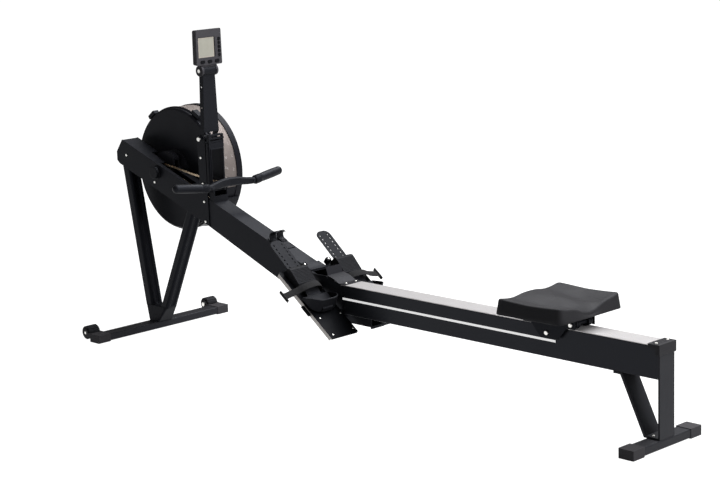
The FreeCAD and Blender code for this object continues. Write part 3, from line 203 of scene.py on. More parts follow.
powder_coat = black_finish("powder_coat_black", (0.0096, 0.0102, 0.0130), 0.42, 900.0, 0.00006)
beam_coat = black_finish("beam_coat_black", (0.0160, 0.0168, 0.0205), 0.42, 900.0, 0.00006)
leg_coat = black_finish("powder_coat_dark_grey", (0.021, 0.021, 0.024), 0.45, 900.0, 0.00006, shine=0.14)
rail_anodised = black_finish("anodised_rail_black", (0.0155, 0.0160, 0.0195), 0.33, 1500.0, 0.00002,
                             radius=0.0015, shine=0.14)
# The cage shell's rims are much paler: mostly a painted highlight along the rim, partly rubbed paint.
cage_shell = black_finish("cage_shell_charcoal", (0.0100, 0.0100, 0.0125), 0.40, 1300.0, 0.00004,
                          radius=0.0015, rub_and_highlight=0.9)
black_moulding = black_finish("moulding_black", (0.0115, 0.0120, 0.0145), 0.46, 1600.0, 0.00005, 0.0012)
cap_moulding = black_finish("end_cap_dark_grey", (0.050, 0.048, 0.052), 0.50, 1400.0, 0.00006, 0.0015)
rail_cap_moulding = black_finish("rail_cap_black", (0.029, 0.0285, 0.031), 0.44, 1400.0, 0.00006, 0.0015)
cover_coat = black_finish("centre_cover_grey", (0.020, 0.0198, 0.023), 0.45, 900.0, 0.00006)
monitor_moulding = black_finish("monitor_charcoal", (0.058, 0.056, 0.062), 0.48, 1800.0, 0.00004, 0.0012)
key_moulding = black_finish("key_black", (0.006, 0.006, 0.007), 0.42, 1800.0, 0.00003, 0.0006)
plate_moulding = black_finish("footplate_black", (0.0022, 0.0024, 0.0030), 0.38, 700.0, 0.00005,
                              radius=0.001, shine=0.04)
pad_rubber = black_finish("ribbed_pad_black", (0.013, 0.013, 0.0145), 0.55, 1500.0, 0.00008, 0.0008)
cup_moulding = black_finish("heel_cup_black", (0.0095, 0.0098, 0.0115), 0.5, 1500.0, 0.00006, 0.0012)
wheel_rubber = black_finish("wheel_rubber", (0.018, 0.018, 0.020), 0.6, 1200.0, 0.00008, 0.001)
seat_foam = black_finish("seat_foam_black", (0.026, 0.0255, 0.0275), 0.50, 1300.0, 0.00012,
                         radius=0.001, rub_and_highlight=0.1, shine=0.07)
grip_rubber = black_finish("grip_rubber", (0.0075, 0.0078, 0.0098), 0.45, 1700.0, 0.00008,
                           radius=0.001, rub_and_highlight=0.15, shine=0.13)
print("painted and moulded finishes made")

# %% [markdown]
# ## Metal finishes
# The running strip is brushed steel, rolled along its length, so its scratches run along X. It is
# only partly metallic, because a fully metallic strip mirrors the room in hard patches. Zinc plated
# screws are pale with a faint grain. The chain is warm with a film of oil, and the fan is dark
# bare sheet.

# %% Metal finishes
def metal_finish(name, colour, rough, stretch, scale, depth, drift=0.12, radius=0.0004, metal=1.0):
    material, tree, place = new_finish(name)
    mapping = add(tree, "ShaderNodeMapping", Vector=place)
    mapping.inputs["Scale"].default_value = stretch
    lines = noise(tree, mapping.outputs["Vector"], scale, 3.0)
    cloud = noise(tree, place, 14.0, 3.0)
    shade = blend_colours(tree, cloud, tone(1.0 - drift, colour), tone(1.0 + drift * 0.6, colour))
    rounded = soft_edges(tree, radius)
    bump = add(tree, "ShaderNodeBump", Height=lines, Normal=rounded, Strength=0.4, Distance=depth)
    shader = add(tree, "ShaderNodeBsdfPrincipled", Base_Color=shade, Metallic=metal,
                 Normal=bump.outputs["Normal"])
    tree.links.new(ramp(tree, lines, 0.3, 0.7, rough * 0.8, rough * 1.25), shader.inputs["Roughness"])
    close_finish(tree, shader)
    return material


EVEN = (1.0, 1.0, 1.0)
running_strip = metal_finish("running_strip_steel", (0.54, 0.525, 0.53), 0.34, (0.02, 1.0, 1.0), 1500.0,
                             0.000005, drift=0.04, metal=0.45)
zinc_plate = metal_finish("zinc_plate", (0.78, 0.77, 0.74), 0.28, EVEN, 900.0, 0.00003)
turned_steel = metal_finish("turned_steel", (0.52, 0.52, 0.53), 0.30, (1.0, 0.05, 1.0), 1500.0, 0.00002)
fan_sheet = metal_finish("fan_sheet", (0.10, 0.10, 0.105), 0.45, EVEN, 500.0, 0.00002)
bare_edge = metal_finish("bare_edge", (0.42, 0.40, 0.385), 0.45, EVEN, 900.0, 0.00001,
                         drift=0.08, metal=0.5)
chain_plate = metal_finish("chain_plate", (0.50, 0.40, 0.29), 0.33, EVEN, 1200.0, 0.00002)
print("metal finishes made")


# %% [markdown]
# ## Dressing the CAD nodes
# A CAD node whose shape is right keeps its mesh and only gets a finish. The table below says which
# finish each one wears.

# %% Dress the nodes
def dress(finish, *names):
    for name in names:
        mesh = nodes[name].data
        mesh.materials.clear()
        mesh.materials.append(finish)


dress(powder_coat, "front_leg", "head_plate_left", "head_plate_right", "seat_carriage")
dress(beam_coat, "head_cover", "main_beam", "footrest_bracket")
dress(leg_coat, "front_foot_bar", "rear_leg", "rear_foot_bar")
dress(rail_anodised, "rail")
dress(cage_shell, "cage_inner_cover", "cage_outer_cover", "cage_skirt", "flywheel_bearings")
dress(black_moulding, "chain_guide", "guide_bracket", "cage_clamps", "axle_cap", "handle_hook",
      "monitor_arm", "handle_bar", "chain_idler", "return_pulley", "seat_rollers_front",
      "seat_rollers_rear", "guide_rollers")
dress(cap_moulding, "front_end_caps", "rear_end_caps")
dress(rail_cap_moulding, "rail_end_cap")
dress(cover_coat, "centre_cover")
dress(plate_moulding, "footplate_left", "footplate_right")
dress(cup_moulding, "heel_cup_left", "heel_cup_right")
dress(pad_rubber, "toe_pads", "return_cord", "foot_straps")
dress(seat_foam, "seat_pad")
dress(grip_rubber, "hand_grips")
dress(wheel_rubber, "transport_wheel_left", "transport_wheel_right")
dress(monitor_moulding, "monitor_case")
dress(key_moulding, *[n for n in nodes if "button" in n])
dress(running_strip, "rail_track")
dress(zinc_plate, "frame_bolts")
dress(turned_steel, "chain_swivel", "drive_sprocket", "return_block")
dress(fan_sheet, "flywheel_rotor", "cage_mesh")
dress(chain_plate, "drive_chain")
bare = sorted(n for n, o in nodes.items() if not o.data.materials)
print("nodes with no finish:", bare)


# %% [markdown]
# ## Mesh helper
# Pieces built one by one are made from a list of points and a list of faces, and then ride on a body of
# the machine.

# %% Mesh helper
def make_piece(name, points, faces, finish, body, smooth=True):
    mesh = bpy.data.meshes.new(name)
    mesh.from_pydata([tuple(p) for p in points], [], faces)
    mesh.validate()
    mesh.materials.append(finish)
    for polygon in mesh.polygons:
        polygon.use_smooth = smooth
    piece = bpy.data.objects.new(name, mesh)
    bpy.context.scene.collection.objects.link(piece)
    if body:
        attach(piece, body)
    return piece


# %% [markdown]
# ## The seat
# A moulded foam seat has no flat surface on top: two bowls for the sit bones, shallow troughs for
# the thighs at the front, a low ridge between them and a notch at the back for the tailbone. It
# could be sculpted, but a small grid of heights is easier to check. The grid is smoothed with a
# cubic, and rings of points shrink from the rim to the middle, so that the rim stays finely rounded.

# %% Seat pad
SEAT_ROWS = (0.703, 0.745, 0.790, 0.825, 0.860, 0.905, 0.947)
SEAT_COLUMNS = (0.0, 0.030, 0.052, 0.075, 0.105, 0.145)
SEAT_HEIGHTS = (
    (387, 386, 383, 381, 383, 389),
    (386, 385, 381, 378, 381, 388),
    (385, 382, 377, 374, 379, 386),
    (383, 379, 373, 371, 377, 385),
    (380, 376, 370, 369, 377, 386),
    (371, 370, 370, 372, 379, 388),
    (355, 361, 371, 378, 382, 391),
)
SEAT_FRONT_X, SEAT_BACK_X = 0.7025, 0.9495
FRONT_HALF, BACK_HALF, CORNER = 0.1475, 0.1455, 0.019
SEAT_MIDDLE, SEAT_UNDER, SEAT_HEM = 0.825, 0.3411, 0.3432
ROLL_R, SIDE_DRAFT = 0.0075, 0.0065


def cubic(values, knots, at):
    """Catmull-Rom through values at the knots."""
    at = min(max(at, knots[0]), knots[-1])
    k = max(i for i in range(len(knots) - 1) if knots[i] <= at + 1e-9)
    t = (at - knots[k]) / (knots[k + 1] - knots[k])
    p = [values[min(max(k + i, 0), len(values) - 1)] for i in (-1, 0, 1, 2)]
    bend = (p[3] - p[0]) + 3.0 * (p[1] - p[2])
    return p[1] + 0.5 * t * ((p[2] - p[0]) + t * ((2 * p[0] - 5 * p[1] + 4 * p[2] - p[3]) + t * bend))


def seat_top(x, y):
    row = [cubic(heights, SEAT_COLUMNS, abs(y)) for heights in SEAT_HEIGHTS]
    return cubic(row, SEAT_ROWS, x) / 1000.0


def seat_outline(inset, per_corner=14, per_side=22):
    """Points round the seat's plan: a rounded rectangle that is slightly narrower at the back."""
    centres = [(SEAT_FRONT_X + CORNER, -FRONT_HALF + CORNER), (SEAT_BACK_X - CORNER, -BACK_HALF + CORNER),
               (SEAT_BACK_X - CORNER, BACK_HALF - CORNER), (SEAT_FRONT_X + CORNER, FRONT_HALF - CORNER)]
    signs = ((-1, -1), (1, -1), (1, 1), (-1, 1))
    r = max(CORNER - inset, 0.002)
    shift = CORNER - r

    def on_corner(k, a):
        (cx, cy), (sx, sy) = centres[k], signs[k]
        return (cx + sx * (shift - min(inset, CORNER)) + r * math.cos(a) - sx * max(inset - CORNER, 0.0),
                cy + sy * (shift - min(inset, CORNER)) + r * math.sin(a) - sy * max(inset - CORNER, 0.0))

    points = []
    for k in range(4):
        start = math.pi + k * math.pi / 2
        points += [on_corner(k, start + math.pi / 2 * i / per_corner) for i in range(per_corner + 1)]
        fx, fy = points[-1]
        ex, ey = on_corner((k + 1) % 4, start + math.pi / 2)
        for i in range(1, per_side):
            t = i / per_side
            points.append((fx + (ex - fx) * t, fy + (ey - fy) * t))
    return points


def make_seat():
    points, rings = [], []

    def ring(inset, height):
        rings.append(len(points))
        for x, y in seat_outline(inset):
            points.append((x, y, height(x, y)))

    ring(0.004, lambda x, y: SEAT_UNDER)
    ring(-0.0010, lambda x, y: 0.3416)
    ring(-0.0018, lambda x, y: SEAT_HEM)
    for share in (0.25, 0.5, 0.75, 0.95):
        ring(-0.0018 + SIDE_DRAFT * share,
             lambda x, y, s=share: SEAT_HEM + (seat_top(x, y) - ROLL_R - SEAT_HEM) * s)
    for step in range(1, 9):
        a = math.pi / 2 * step / 8
        ring(0.0047 + ROLL_R * (1 - math.cos(a)),
             lambda x, y, a=a: seat_top(x, y) - ROLL_R * (1 - math.sin(a)))
    for inset in (0.014, 0.019, 0.025, 0.032, 0.040, 0.049, 0.059, 0.070, 0.082, 0.094, 0.106, 0.116):
        ring(inset, seat_top)
    count = len(seat_outline(0.0))
    faces = []
    for a, b in zip(rings, rings[1:]):
        for i in range(count):
            j = (i + 1) % count
            faces.append((a + i, a + j, b + j, b + i))
    last, first = rings[-1], rings[0]
    middle = len(points)
    points.append((SEAT_MIDDLE, 0.0, seat_top(SEAT_MIDDLE, 0.0)))
    points.append((SEAT_MIDDLE, 0.0, SEAT_UNDER))
    for i in range(count):
        j = (i + 1) % count
        faces.append((last + i, last + j, middle))
        faces.append((first + j, first + i, middle + 1))
    seat = make_piece("seat_pad_foam", points, faces, seat_foam, "seat")
    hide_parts("seat_pad")
    return seat


seat = make_seat()
print("seat points", len(seat.data.vertices))

# %% [markdown]
# ## The perforated mesh
# Air enters the cage through a band of perforated sheet. A texture of holes would look painted on,
# so the holes are real: a honeycomb of six-sided cells, each a ring between the cell's outline and
# its hole. Neighbouring cells share their outline points, and the flat honeycomb is then wrapped
# round the cage. A slight thickness closes it.

# %% Cage mesh
AXLE_X, AXLE_Z = -0.9948, 0.5870
MESH_R = 0.2214
MESH_FROM, MESH_TO = math.radians(-15.7), math.radians(195.7)
MESH_NEAR, MESH_FAR = 0.0775, 0.1535
MESH_COLUMNS, HOLE_SHARE, SHEET_THICK = 210, 0.40, 0.0009


def make_cage_mesh():
    arc = MESH_R * (MESH_TO - MESH_FROM)
    across = arc / MESH_COLUMNS
    side = across / math.sqrt(3.0)
    rows = int((MESH_FAR - MESH_NEAR - side / 2) / (side * 1.5))
    start = (MESH_NEAR + MESH_FAR) / 2 - (rows - 1) * side * 1.5 / 2
    points, faces, shared = [], [], {}

    def point(u, v, share):
        key = (round(u * 1e5), round(v * 1e5))
        if share and key in shared:
            return shared[key]
        u = min(max(u, 0.0), arc)
        a = MESH_FROM + u / MESH_R
        points.append((AXLE_X + MESH_R * math.cos(a), v, AXLE_Z + MESH_R * math.sin(a)))
        if share:
            shared[key] = len(points) - 1
        return len(points) - 1

    for row in range(rows):
        v = start + row * side * 1.5
        for column in range(MESH_COLUMNS):
            u = (column + 0.5 + 0.5 * (row % 2)) * across
            if u > arc - across * 0.4:
                continue
            outer, inner = [], []
            for k in range(6):
                a = math.radians(30 + 60 * k)
                outer.append(point(u + side * math.cos(a), v + side * math.sin(a), True))
                inner.append(point(u + side * HOLE_SHARE * math.cos(a),
                                   v + side * HOLE_SHARE * math.sin(a), False))
            for k in range(6):
                n = (k + 1) % 6
                faces.append((outer[k], outer[n], inner[n], inner[k]))
    steps = 120
    last_row = start + (rows - 1) * side * 1.5
    for low, high in ((MESH_NEAR, start - side * 0.45), (last_row + side * 0.45, MESH_FAR)):
        base = len(points)
        for i in range(steps + 1):
            u = arc * i / steps
            point(u, low, False)
            point(u, high, False)
        faces += [(base + 2 * i, base + 2 * i + 2, base + 2 * i + 3, base + 2 * i + 1)
                  for i in range(steps)]
    piece = make_piece("cage_mesh_sheet", points, faces, mesh_sheet, "frame", smooth=False)
    thick = piece.modifiers.new("sheet", "SOLIDIFY")
    thick.thickness = SHEET_THICK
    thick.offset = 0.0
    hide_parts("cage_mesh")
    return piece


mesh_sheet = metal_finish("mesh_sheet_taupe", (0.225, 0.195, 0.183), 0.6, EVEN, 900.0, 0.00002,
                          drift=0.05, metal=0.6)
cage_mesh = make_cage_mesh()
print("cage mesh faces", len(cage_mesh.data.polygons))

# %% [markdown]
# ## The chain
# The chain is built link by link along its route: rollers on every pitch, and side plates that
# alternate between an inner and an outer pair. It comes in lengths, because its two ends move with
# the handle and with the return pulley. The long runs ride on no body. The
# wrap round the sprocket stays with the frame, and the one round the pulley with its block.

# %% Chain route
PITCH = 0.009525
SLOPE, TILT = math.radians(7.4), math.radians(20.0)
TEETH, CHAIN_GAP, CHAIN_HALF = 12, 0.0003, 0.0035
SPROCKET_TIP = PITCH / (2 * math.sin(math.pi / TEETH)) + 0.0024
CHAIN_R = SPROCKET_TIP + CHAIN_GAP + CHAIN_HALF
IDLER_AWAY = 0.0110 + CHAIN_GAP + CHAIN_HALF
IDLER_X = -0.735
IDLER_Z = AXLE_Z + (CHAIN_R - IDLER_AWAY - math.sin(SLOPE) * (IDLER_X - AXLE_X)) / math.cos(SLOPE)
CHAIN_LEVEL = IDLER_Z + IDLER_AWAY
CHAIN_END = -0.6632
RETURN_AWAY = 0.0160 + CHAIN_GAP + CHAIN_HALF
RETURN_X, ANCHOR_RUN = -0.300, -0.648


def on_beam(point, run, rise):
    """A point moved down the slope of the beam by run, and square to it by rise."""
    return (point[0] + run * math.cos(TILT) + rise * math.sin(TILT),
            point[1] - run * math.sin(TILT) + rise * math.cos(TILT))


LOWER_START = on_beam((AXLE_X, AXLE_Z), 0.0, -CHAIN_R)
LOWER_END = on_beam(LOWER_START, (RETURN_X - LOWER_START[0]) / math.cos(TILT), 0.0)
RETURN_CENTRE = on_beam(LOWER_END, 0.0, RETURN_AWAY)


def arc(centre, radius, start, end, steps=40):
    angles = [math.radians(start + (end - start) * i / steps) for i in range(steps + 1)]
    return [(centre[0] + radius * math.cos(a), centre[1] + radius * math.sin(a)) for a in angles]


def spread(route, pitch=PITCH):
    """Points one pitch apart along a route of (x, z) points."""
    lengths = [0.0]
    for a, b in zip(route, route[1:]):
        lengths.append(lengths[-1] + math.dist(a, b))
    count = max(2, int(lengths[-1] / pitch))
    found, k = [], 0
    for i in range(count + 1):
        at = lengths[-1] * i / count
        while k < len(route) - 2 and lengths[k + 1] < at:
            k += 1
        t = (at - lengths[k]) / max(lengths[k + 1] - lengths[k], 1e-9)
        a, b = route[k], route[k + 1]
        found.append((a[0] + (b[0] - a[0]) * t, a[1] + (b[1] - a[1]) * t))
    return found


def link_plate(a, b, y0, y1, points, faces):
    """One side plate: an outline with two round ends and a waist, given a thickness."""
    ux, uz = b[0] - a[0], b[1] - a[1]
    size = math.hypot(ux, uz)
    ux, uz = ux / size, uz / size
    outline = []
    for end, turn in ((b, 0.0), (a, math.pi)):
        for i in range(7):
            t = turn - math.pi / 2 * 0.92 + math.pi * 0.92 * i / 6
            along, high = 0.0033 * math.cos(t), 0.0033 * math.sin(t)
            outline.append((end[0] + along * ux - high * uz, end[1] + along * uz + high * ux))
        sign = 1 if turn == 0.0 else -1
        mid = ((a[0] + b[0]) / 2 - sign * 0.0024 * uz, (a[1] + b[1]) / 2 + sign * 0.0024 * ux)
        outline.append(mid)
    base, n = len(points), len(outline)
    points += [(x, y0, z) for x, z in outline] + [(x, y1, z) for x, z in outline]
    faces.append(tuple(base + i for i in range(n)))
    faces.append(tuple(base + n + i for i in reversed(range(n))))
    faces += [(base + i, base + n + i, base + n + (i + 1) % n, base + (i + 1) % n) for i in range(n)]


def chain_roller(centre, radius, half, points, faces, sides=10):
    base = len(points)
    for y in (-half, half):
        points += [(centre[0] + radius * math.cos(2 * math.pi * i / sides), y,
                    centre[1] + radius * math.sin(2 * math.pi * i / sides)) for i in range(sides)]
    faces += [(base + i, base + (i + 1) % sides, base + sides + (i + 1) % sides, base + sides + i)
              for i in range(sides)]
    faces.append(tuple(base + i for i in reversed(range(sides))))
    faces.append(tuple(base + sides + i for i in range(sides)))


def make_chain(name, route, body=None, between=None):
    points, faces = [], []
    pins = spread(route)
    for k, pin in enumerate(pins):
        chain_roller(pin, 0.0024, 0.0034, points, faces)
    for k, (a, b) in enumerate(zip(pins, pins[1:])):
        inner, outer = (0.0016, 0.0023) if k % 2 else (0.0025, 0.0032)
        link_plate(a, b, inner, outer, points, faces)
        link_plate(a, b, -outer, -inner, points, faces)
    piece = make_piece(name, points, faces, chain_plate, body, smooth=False)
    if between:
        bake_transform(piece)
    return piece


# %% Chain lengths
top_of_wheel = (AXLE_X + CHAIN_R * math.sin(SLOPE), AXLE_Z + CHAIN_R * math.cos(SLOPE))
over_idler = arc((IDLER_X, IDLER_Z), IDLER_AWAY, 90 - math.degrees(SLOPE), 90, 6)
handle_route = [top_of_wheel] + over_idler + [(CHAIN_END, CHAIN_LEVEL)]
wheel_route = arc((AXLE_X, AXLE_Z), CHAIN_R, 90 - math.degrees(SLOPE), 270 - math.degrees(TILT))
upper = on_beam(RETURN_CENTRE, 0.0, RETURN_AWAY)
pulley_route = arc(RETURN_CENTRE, RETURN_AWAY, -90 - math.degrees(TILT), 90 - math.degrees(TILT))
back_end = on_beam(upper, ANCHOR_RUN, 0.0)
handle_run = make_chain("chain_handle_run", handle_route,
                        between=("frame", "handle", (IDLER_X, IDLER_Z), (CHAIN_END, CHAIN_LEVEL)))
wheel_wrap = make_chain("chain_sprocket_wrap", wheel_route, body="frame")
lower_run = make_chain("chain_lower_run", [LOWER_START, LOWER_END],
                       between=("frame", "return_block", LOWER_START, LOWER_END))
pulley_wrap = make_chain("chain_pulley_wrap", pulley_route, body="return_block")
back_run = make_chain("chain_anchor_run", [back_end, upper],
                      between=("frame", "return_block", back_end, upper))
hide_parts("drive_chain")
print("chain pieces made, level run at", round(CHAIN_LEVEL, 4))

# %% [markdown]
# ## The return cord
# An elastic cord pulls the return pulley down the beam. It is a plain round cord with a braided
# cover. The real cord stretches as the pulley block is drawn up, but here it is one fixed tube on no body.

# %% Return cord
BLOCK_FACE, CORD_LONG, CORD_R, BEAD, EYE = 0.0463, 0.118, 0.0040, 0.00012, 0.003


def skin(rings, sides, flip=False):
    """Faces over rings of points, with a cap at each end. Flip turns them inside out."""
    faces = []
    for k in range(rings - 1):
        for i in range(sides):
            j = (i + 1) % sides
            faces.append((k * sides + i, k * sides + j, (k + 1) * sides + j, (k + 1) * sides + i))
    faces.append(tuple(reversed(range(sides))))
    faces.append(tuple((rings - 1) * sides + i for i in range(sides)))
    return [tuple(reversed(face)) for face in faces] if flip else faces


def tube(path, radius, sides=14):
    """A closed tube along a straight or gently curved path, with end caps."""
    points = []
    for k, p in enumerate(path):
        before, after = Vector(path[max(k - 1, 0)]), Vector(path[min(k + 1, len(path) - 1)])
        along = (after - before).normalized()
        across = along.cross(Vector((0, 1, 0))).normalized()
        other = along.cross(across)
        for i in range(sides):
            a = 2 * math.pi * i / sides
            points.append(tuple(Vector(p) + (across * math.cos(a) + other * math.sin(a)) * radius(k)))
    return points, skin(len(path), sides)


def make_return_cord():
    start = on_beam(RETURN_CENTRE, BLOCK_FACE, 0.0)
    end = on_beam(RETURN_CENTRE, BLOCK_FACE + CORD_LONG, 0.0)
    path = [(start[0] + (end[0] - start[0]) * t / 24, 0.0, start[1] + (end[1] - start[1]) * t / 24)
            for t in range(25)]
    points, faces = tube(path, lambda k: CORD_R + BEAD * (k % 2) + (EYE if k >= 23 else 0.0))
    cord = make_piece("return_cord_elastic", points, faces, pad_rubber, None)
    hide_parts("return_cord")
    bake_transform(cord)
    return cord


return_cord = make_return_cord()
print("return cord points", len(return_cord.data.vertices))

# %% [markdown]
# ## The foot straps
# Webbing lies in a soft arch over the foot, and its outer end is wider and folded back on itself, so
# that it is easy to pull. Each strap is a swept band whose edges are a touch thinner than its
# middle, and the weave is a fine rib across the band.

# %% Webbing finish
def webbing_finish():
    material, tree, place = new_finish("webbing_black")
    wave = add(tree, "ShaderNodeTexWave", Vector=place, wave_type="BANDS", bands_direction="Y",
               Scale=260.0)
    cross = add(tree, "ShaderNodeTexWave", Vector=place, wave_type="BANDS", bands_direction="X",
                Scale=180.0)
    weave = calculate(tree, "MULTIPLY", wave.outputs["Fac"], cross.outputs["Fac"])
    cloud = noise(tree, place, 40.0, 3.0)
    thread = blend_colours(tree, weave, (0.007, 0.007, 0.008, 1.0), (0.015, 0.015, 0.017, 1.0))
    worn = blend_colours(tree, ramp(tree, cloud, 0.45, 0.8, 0.0, 0.35), thread, (0.022, 0.022, 0.024, 1.0))
    bump = add(tree, "ShaderNodeBump", Height=weave, Strength=0.5, Distance=0.0003)
    shader = add(tree, "ShaderNodeBsdfPrincipled", Base_Color=worn, Roughness=0.8,
                 Normal=bump.outputs["Normal"])
    shader.inputs["Specular IOR Level"].default_value = 0.15
    shader.inputs["Sheen Weight"].default_value = 0.05
    close_finish(tree, shader)
    return material


webbing = webbing_finish()

# %% Foot straps
FOOT_TILT = math.radians(37.0)
PLATE_TOP = (-0.220, 0.345)
FOOT_Y = 0.1055
FOOT_HALF = 0.0605


def on_foot(along, y, high, side):
    """A point of a footplate's own frame: down its slope, outwards across it, and out of its face."""
    x = PLATE_TOP[0] + along * math.cos(FOOT_TILT) + high * math.sin(FOOT_TILT)
    z = PLATE_TOP[1] - along * math.sin(FOOT_TILT) + high * math.cos(FOOT_TILT)
    return (x, side * (FOOT_Y + y), z)


STRAP_AT, STRAP_HALF, HALF_THICK, TAIL_FLARE = 0.1005, 0.0125, 0.0011, 0.0110
ARCH = ((-0.0495, 0.0010), (-0.045, 0.013), (-0.038, 0.023), (-0.022, 0.0305), (0.0, 0.033), (0.022, 0.031),
        (0.039, 0.025), (0.055, 0.016), (0.073, 0.009), (0.092, 0.004), (0.108, 0.001))
FOLD = [(0.1085, 0.0040), (0.1110, 0.0052), (0.1125, 0.0025), (0.1118, -0.0030), (0.1085, -0.0045)]


def make_strap(name, side):
    knots = range(len(ARCH))
    path = []
    for i in range(81):
        at = i / 80 * (len(ARCH) - 1)
        path.append((cubic([p[0] for p in ARCH], knots, at), cubic([p[1] for p in ARCH], knots, at)))
    path += FOLD
    profile = [(-1.0, 0.0), (-0.96, 0.7), (-0.8, 1.0), (0.0, 1.12), (0.8, 1.0), (0.96, 0.7), (1.0, 0.0),
               (0.96, -0.7), (0.8, -1.0), (0.0, -1.0), (-0.8, -1.0), (-0.96, -0.7)]
    points = []
    for k, (y, h) in enumerate(path):
        before, after = path[max(k - 1, 0)], path[min(k + 1, len(path) - 1)]
        dy, dh = after[0] - before[0], after[1] - before[1]
        size = math.hypot(dy, dh)
        ny, nh = -dh / size, dy / size
        wide = STRAP_HALF if k < 78 else STRAP_HALF + TAIL_FLARE * min((k - 77) / 3.0, 1.0)
        for across, out in profile:
            along = STRAP_AT + across * wide + 0.0008 * math.sin(y * 60.0)
            points.append(on_foot(along, y + ny * out * HALF_THICK, h + nh * out * HALF_THICK, side))
    faces = skin(len(path), len(profile), flip=side < 0)
    return make_piece(name, points, faces, webbing, "frame")


straps = [make_strap("foot_strap_left", -1), make_strap("foot_strap_right", 1)]
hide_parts("foot_straps")
print("straps", [len(s.data.vertices) for s in straps])

# %% [markdown]
# ## The grips
# Each grip is a rubber sleeve with a rounded end, a slight swell in the middle and a few raised
# rings at its inner end. It is turned from a profile of distance along the grip and radius.

# %% Hand grips
ELBOW, TIP = Vector((-0.626, 0.102, 0.575)), Vector((-0.6435, 0.247, 0.5915))


def make_grip(name, side):
    flip = Vector((1, side, 1))
    start, end = ELBOW * flip, TIP * flip
    along = (end - start).normalized()
    total = (end - start).length - 0.0005
    profile = [(0.002, 0.0092), (0.002, 0.0125), (0.0032, 0.0142)]
    for ring in range(4):
        at = 0.006 + 0.0065 * ring
        profile += [(at, 0.0146), (at + 0.0012, 0.0160), (at + 0.0034, 0.0160), (at + 0.0046, 0.0146)]
    body_end = total - 0.0155
    for i in range(1, 15):
        t = i / 15
        at = 0.033 + (body_end - 0.033) * t
        profile.append((at, 0.0150 + 0.0009 * math.sin(math.pi * t)))
    for i in range(13):
        a = math.pi / 2 * i / 12
        profile.append((body_end + 0.0152 * math.sin(a), max(0.0152 * math.cos(a), 0.0001)))
    across = along.cross(Vector((0, 0, 1))).normalized()
    other = along.cross(across)
    sides = 36
    points = []
    for at, radius in profile:
        for i in range(sides):
            a = 2 * math.pi * i / sides
            points.append(tuple(start + along * at + (across * math.cos(a) + other * math.sin(a)) * radius))
    return make_piece(name, points, skin(len(profile), sides), grip_rubber, "handle")


grips = [make_grip("grip_left", -1), make_grip("grip_right", 1)]
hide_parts("hand_grips")
print("grips", [len(g.data.vertices) for g in grips])

# %% [markdown]
# ## The rail stripe
# A plain white stripe runs part of the way along each side of the rail. It is a thin film, so it is
# modelled as a strip that stands a tenth of a millimetre proud, with square ends. A little light of
# its own keeps it white beside the black rail.

# %% Rail stripes
STRIPE_GLOW = 0.55


def stripe_finish():
    material, tree, place = new_finish("stripe_white")
    cloud = noise(tree, place, 30.0, 3.0)
    shade = blend_colours(tree, cloud, (0.70, 0.70, 0.71, 1.0), (0.86, 0.86, 0.86, 1.0))
    bump = add(tree, "ShaderNodeBump", Height=noise(tree, place, 1500.0), Strength=0.2, Distance=0.00002)
    shader = add(tree, "ShaderNodeBsdfPrincipled", Base_Color=shade, Roughness=0.35,
                 Normal=bump.outputs["Normal"])
    shader.inputs["Emission Color"].default_value = (1.0, 1.0, 1.0, 1.0)
    shader.inputs["Emission Strength"].default_value = STRIPE_GLOW
    close_finish(tree, shader)
    return material


stripe_white = stripe_finish()


STRIPE_FROM, STRIPE_TO, STRIPE_LOW, STRIPE_HIGH = -0.0555, 0.8405, 0.2538, 0.2610
STRIPE_OUT, STRIPE_IN = 0.0346, 0.0344


def make_stripe(name, side):
    points, faces = [], []
    steps = 60
    for i in range(steps + 1):
        x = STRIPE_FROM + (STRIPE_TO - STRIPE_FROM) * i / steps
        for z in (STRIPE_LOW, STRIPE_HIGH):
            points.append((x, side * STRIPE_OUT, z))
            points.append((x, side * STRIPE_IN, z))
    for i in range(steps):
        a, b = 4 * i, 4 * i + 4
        loop = (0, 2, 3, 1)
        for k in range(4):
            p, q = loop[k], loop[(k + 1) % 4]
            quad = (a + p, a + q, b + q, b + p)
            faces.append(quad if side < 0 else tuple(reversed(quad)))
    faces += [(0, 1, 3, 2), tuple(4 * steps + k for k in (0, 2, 3, 1))]
    return make_piece(name, points, faces, stripe_white, "frame", smooth=False)


stripes = [make_stripe("rail_stripe_left", -1), make_stripe("rail_stripe_right", 1)]
print("stripes", [len(s.data.vertices) for s in stripes])

# %% [markdown]
# ## The display
# The display is one flat insert: a pale frame round a grey-green liquid crystal panel. Both are the
# same surface, so one finish paints them from the surface's own coordinates. Round the frame the
# insert is near-black, as painted shade of the recess it sits in. The panel is left
# blank, as it is when the machine is off.

# %% Display finish
def within(tree, parts, box):
    """1 inside a rectangle of Y and Z, and 0 outside it."""
    total = None
    for axis, low, high in box:
        for mask in (calculate(tree, "GREATER_THAN", parts.outputs[axis], low),
                     calculate(tree, "LESS_THAN", parts.outputs[axis], high)):
            total = mask if total is None else calculate(tree, "MULTIPLY", total, mask)
    return total


